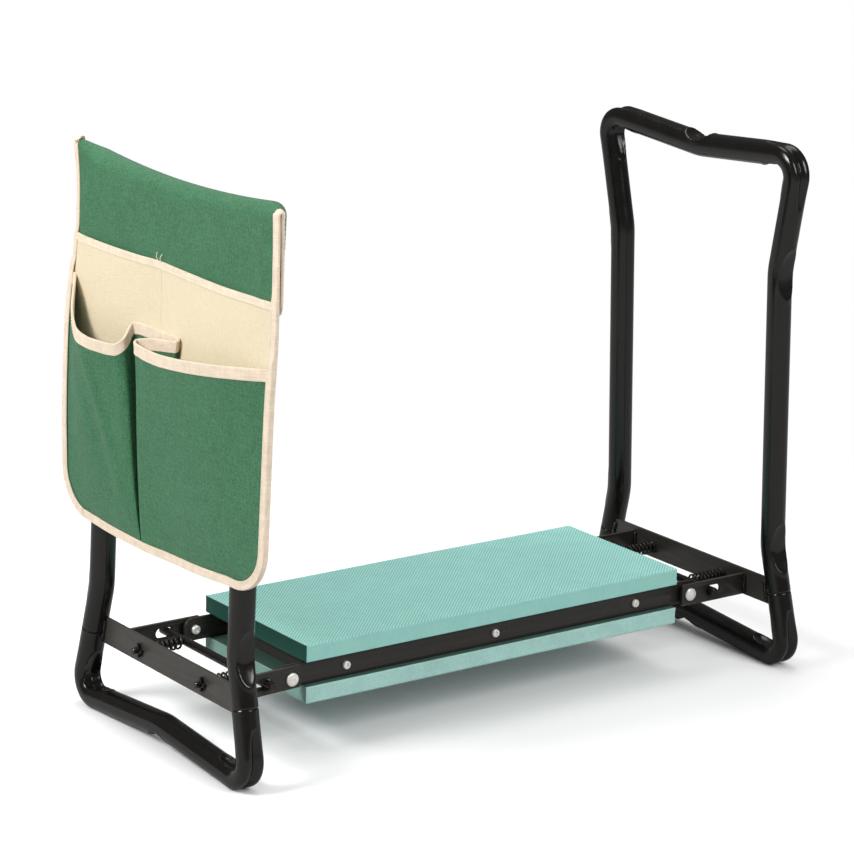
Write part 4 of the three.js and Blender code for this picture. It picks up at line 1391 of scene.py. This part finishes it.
FRONT_FOOT = [
    (9, 0.9), (8, 0.9), (5, 0.95), (3, 1.2), (2.5, 1.7), (3.5, 2.1), (7, 2.2), (12, 2.3),
    (17, 2.6), (20, 3.1), (18.5, 3.4), (12, 3.2), (-6, 2.5), (-42, 1.5), (-80, 1.1), (-115, 1),
    (-142, 0.9), (-152.5, 0.9), (-160, 0.9),
]


def pocket_grid(mouth, foot, far, columns):
    """A lower pocket's cloth, lofted from its sewn foot up to its open, folded mouth."""
    place = along(np.array(mouth, float)[:, :2])
    share = np.linspace(0, place[-1], columns)
    mouth_curve = [through(np.stack([place, c], 1), share) * MM for c in np.array(mouth, float).T]
    foot_curve = [through(np.stack([place, c], 1), share) * MM for c in np.array(foot, float).T]
    edge_reference = (mouth[0][0] if far else mouth[-1][0]) * MM
    heights = face_heights(mouth[-1 if far else 0][2] * MM)
    v = ((heights - BAG_BOTTOM) / (heights[-1] - BAG_BOTTOM))[:, None]
    h = BAG_BOTTOM + (mouth_curve[2][None] - BAG_BOTTOM) * v
    y = foot_curve[0] + (mouth_curve[0] - foot_curve[0]) * v
    stretch = (edge_y(h, far) - SEAM_Y) / (edge_reference - SEAM_Y)
    outer = (y - SEAM_Y) / (edge_reference - SEAM_Y) > 0
    y = np.where(outer, SEAM_Y + (y - SEAM_Y) * stretch * 0.995, y)
    puff = np.clip((v - 0.03) / 0.97, 0, 1) ** 0.8
    proud = foot_curve[1] + (mouth_curve[1] - foot_curve[1]) * puff
    proud = proud + pocket_creases(y, h, v, far, mouth_curve[1][None])
    rise = SEWN_RISE * (1 - smoothstep(v, 0, 0.02))
    return from_loop(BAG_SIDE, cream_out(y, h) + proud, y, h + bottom_sag(y, h) + rise)


def pocket_creases(y, h, v, far, proud):
    """A long soft crease down the rear pocket, and shallow drapes in both."""
    body = smoothstep(proud, 8 * MM, 16 * MM) * np.sin(math.pi * np.clip(v, 0, 1)) ** 0.5
    drape = 0.5 * MM * np.sin(h * 26 + y * 30) * np.sin(y * 24 + 1.0)
    if not far:
        belly = 1.8 * MM * bell(y + 70 * MM, 50 * MM) * bell(h - 255 * MM, 45 * MM)
        return (drape + belly) * body
    ridge_y = (93 - (328 * MM - h) / MM * 0.43) * MM
    ridge = 2.4 * MM * bell(y - ridge_y, 7.5 * MM) * smoothstep(h, 185 * MM, 235 * MM)
    valley = -1.8 * MM * bell(y - ridge_y - 20 * MM, 11 * MM) * smoothstep(h, 200 * MM, 260 * MM)
    return (drape + ridge + valley) * body


def top_row(grid):
    """Points, inward directions and normals along the mouth of a sheet."""
    points = grid[-1]
    inward = unit(grid[-3] - grid[-1])
    return points, inward, grid_normals(grid)[-1]


def outline_tape(grid):
    """The tape round the whole panel: its row, and its front and back over the cloths sewn in."""
    rows, columns = grid.shape[:2]
    rim = perimeter(rows, columns)
    points = grid.reshape(-1, 3)[rim]
    normal = grid_normals(grid).reshape(-1, 3)[rim]
    ahead = unit(np.roll(points, -1, axis=0) - np.roll(points, 1, axis=0))
    inward = unit(np.cross(normal, ahead))
    on_face = rim // columns < len(face_heights(HANDLE_TOP_H))
    beyond_layers = 1.0
    height = np.where(on_face, points[:, 2] - GROUND_Z, beyond_layers)
    base = 0.58 * MM
    mouth = np.where(points[:, 1] > 0, 387 * MM, 368 * MM)  # of the rear and the front lower pocket
    layers = 1.1 * LAYER_GAP * (1 - smoothstep(height, CREAM_TOP - 2 * MM, CREAM_TOP + 8 * MM))
    layers = layers + 1.3 * LAYER_GAP * (1 - smoothstep(height - mouth, 0, 11 * MM))
    at_foot = 1 - smoothstep(height, BAG_BOTTOM + 2 * MM, BAG_BOTTOM + 10 * MM)
    layers = layers + 1.7 * MM * bell(points[:, 1] - SEAM_Y, 26 * MM) * at_foot
    return (points, inward, normal), base + layers, base


def add_cloth(name, grid, material, replaces):
    part, uv = cloth_sheet(grid, CLOTH)
    return add_piece(name, part, material, "left_frame", replaces, uv=uv, sharp=70)


def add_tape(name, row, width, front, back, replaces=(), closed=False, material=TAPE):
    part, uv = edge_tape(*row, width, front, back, TAPE_THICKNESS, closed)
    return add_piece(name, part, material, "left_frame", replaces, uv=uv, sharp=60)


def tape_stitches(points, inward, normal, depth, lift):
    """Stitches near the inner edge of a tape's outer leg."""
    lift = np.broadcast_to(lift, len(points))[:, None]
    line = points + inward * depth + normal * lift
    return stitch_row(line, normal, STITCH_LENGTH, STITCH_GAP, 0.26 * MM)


def fastener_strip(inner_out, outer_out):
    """One strip of hook-and-loop tape across the bag, between two distances out."""
    share = np.linspace(-1, 1, 80)[None, :]
    h = np.linspace(408 * MM, 428 * MM, 12)[:, None]
    y = -79 * MM * share + 0 * h
    wobble = 0.15 * MM * np.sin(y * 90)
    base = panel_out(y, h) - BAG_DRAPE_R
    front = from_loop(BAG_SIDE, outer_out + base + wobble, y, h + 0 * y)
    back = from_loop(BAG_SIDE, inner_out + base + wobble, y, h + 0 * y)
    return shell(front, back)


def loose_thread(y, h, lean, length):
    """A thread end left at the top of the upper pocket's middle seam."""
    share = np.linspace(0, 1, 12)
    out = cream_out(y, h) + (1.4 + 1.2 * np.sin(math.pi * share)) * MM
    rise = h + length * share - 2 * MM
    return sweep(from_loop(BAG_SIDE, out, y + lean * share**2, rise), 0.33 * MM, 8)


def build_bag():
    panel = panel_grid()
    add_cloth("bag_cloth", panel, GREEN, ["bag_panel"])
    cream = cream_grid()
    add_cloth("bag_cream_pocket", cream, CREAM, ["bag_upper_pocket"])
    rear = pocket_grid(REAR_MOUTH, REAR_FOOT, True, 110)
    add_cloth("bag_rear_pocket", rear, GREEN, ["bag_rear_lower_pocket"])
    front = pocket_grid(FRONT_MOUTH, FRONT_FOOT, False, 150)
    add_cloth("bag_front_pocket", front, GREEN, ["bag_front_lower_pocket"])

    half = CLOTH / 2 + 0.08 * MM
    rear_row, front_row, cream_row = top_row(rear), top_row(front), top_row(cream)
    for name, row in (("rear", rear_row), ("front", front_row)):
        add_tape(f"bag_{name}_mouth_tape", row, MOUTH_TAPE_WIDTH, half, half,
                 [f"bag_{name}_pocket_binding"])
    add_tape("bag_cream_mouth_tape", cream_row, 6 * MM, half, half, material=CREAM_TAPE)
    edge, front_side, back_side = outline_tape(panel)
    add_tape("bag_outline_tape", edge, TAPE_WIDTH, front_side, back_side, closed=True)

    lift = half + TAPE_THICKNESS
    seams = [
        tape_stitches(*rear_row, MOUTH_TAPE_WIDTH - STITCH_INSET, lift),
        tape_stitches(*front_row, MOUTH_TAPE_WIDTH - STITCH_INSET, lift),
        tape_stitches(*cream_row, 4.8 * MM, lift),
        tape_stitches(*edge, TAPE_WIDTH - STITCH_INSET, front_side + TAPE_THICKNESS),
        tape_stitches(*edge, TAPE_WIDTH - STITCH_INSET, -back_side - TAPE_THICKNESS),
        middle_seam(),
        loose_thread(13 * MM, 421 * MM, 1.5 * MM, 6 * MM),
        loose_thread(8 * MM, 420.5 * MM, -1.5 * MM, 6.5 * MM),
    ]
    add_piece("bag_stitching", merged(*seams), THREAD, "left_frame")

    inside = BAG_DRAPE_R - CLOTH / 2
    loop_strip = fastener_strip(inside - 1.2 * MM, inside)
    hook_strip = fastener_strip(inside - 2.4 * MM, inside - 1.2 * MM)
    add_piece("bag_loop_tape", loop_strip, PILE, "left_frame", ["bag_loop_strip"])
    add_piece("bag_hook_tape", hook_strip, PILE, "left_frame", ["bag_hook_strip"])


def middle_seam():
    """Stitches that part the upper pocket into two."""
    h = np.linspace(300 * MM, 416 * MM, 40)
    y = np.full_like(h, SEAM_Y + 1 * MM)
    points = from_loop(BAG_SIDE, cream_out(y, h) + CLOTH / 2, y, h)
    outwards = from_loop(BAG_SIDE, 1.0, 0.0, 0.0) - from_loop(BAG_SIDE, 0.0, 0.0, 0.0)
    normal = np.broadcast_to(outwards, points.shape)
    return stitch_row(points, normal, STITCH_LENGTH, STITCH_GAP, 0.24 * MM)


# ---------------------------------------------------------------- stage, light and camera


def build_stage():
    """A floor at the object's lowest point."""
    size, z = 30.0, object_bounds()[0].z
    mesh = bpy.data.meshes.new("floor")
    corners = [(-size, -size, z), (size, -size, z), (size, size, z), (-size, size, z)]
    mesh.from_pydata(corners, [], [(0, 1, 2, 3)])
    mesh.materials.append(studio_floor())
    floor = bpy.data.objects.new("floor", mesh)
    bpy.context.scene.collection.objects.link(floor)


def softbox(name, azimuth, elevation, distance, width, height, energy):
    """An area light aimed at the object. Azimuth 0 is the front (-Y) and 90 the right (+X)."""
    light = bpy.data.lights.new(name, "AREA")
    light.shape = "RECTANGLE"
    light.size, light.size_y = width, height
    light.energy = energy
    box = bpy.data.objects.new(name, light)
    a, e = math.radians(azimuth), math.radians(elevation)
    way = Vector((math.sin(a) * math.cos(e), -math.cos(a) * math.cos(e), math.sin(e)))
    target = Vector((0, 0, 0.08))
    box.location = target + way * distance
    box.rotation_euler = way.to_track_quat("Z", "Y").to_euler()
    bpy.context.scene.collection.objects.link(box)


WORLD_FOR = {"Is Camera Ray": 1.0, "Is Glossy Ray": 0.14}  # the world's strength for these rays


def build_world():
    """White to the camera. Its light is brighter from above, and dim in reflections."""
    world = bpy.data.worlds.new("studio")
    bpy.context.scene.world = world
    world.use_nodes = True
    tree = world.node_tree
    background = tree.nodes["Background"]
    background.inputs["Color"].default_value = (1, 1, 1, 1)
    up = axes(tree, add_node(tree, "ShaderNodeTexCoord").outputs["Generated"])["Z"]
    strength = spread(tree, up, 0.16, 0.72, -0.1, 0.9)
    path = add_node(tree, "ShaderNodeLightPath")
    for ray, value in WORLD_FOR.items():
        others = calculate(tree, "SUBTRACT", 1.0, path.outputs[ray])
        kept = multiply(tree, strength, others)
        strength = add(tree, kept, multiply(tree, path.outputs[ray], value))
    tree.links.new(strength, background.inputs["Strength"])


CAMERA_PLACE = Vector((-1.6306, -2.1964, 0.8831))
CAMERA_TARGET = Vector((-0.0250, 0.0, 0.1449))
CAMERA_ROLL = 0.025
CAMERA_FOV = math.radians(15.0)


def build_camera():
    data = bpy.data.cameras.new("camera")
    data.sensor_width = 36
    data.lens = data.sensor_width / 2 / math.tan(CAMERA_FOV / 2)
    camera = bpy.data.objects.new("camera", data)
    ahead = (CAMERA_TARGET - CAMERA_PLACE).normalized()
    level = ahead.cross(Vector((0, 0, 1))).normalized()
    up = level.cross(ahead)
    right = math.cos(CAMERA_ROLL) * level + math.sin(CAMERA_ROLL) * up
    above = math.cos(CAMERA_ROLL) * up - math.sin(CAMERA_ROLL) * level
    turn = Matrix((right, above, -ahead)).transposed().to_4x4()
    camera.matrix_world = Matrix.Translation(CAMERA_PLACE) @ turn
    bpy.context.scene.collection.objects.link(camera)
    bpy.context.scene.camera = camera


build_tubes()
build_metalwork()
build_pads()
build_bag()
build_stage()
build_world()
softbox("key_light", -97, 36, 2.4, 0.8, 0.8, 44)
softbox("fill_light", 12, 34, 2.6, 0.9, 1.4, 34)
softbox("top_light", 150, 72, 2.2, 1.4, 1.0, 13)
build_camera()
bpy.context.scene.view_settings.view_transform = "Standard"
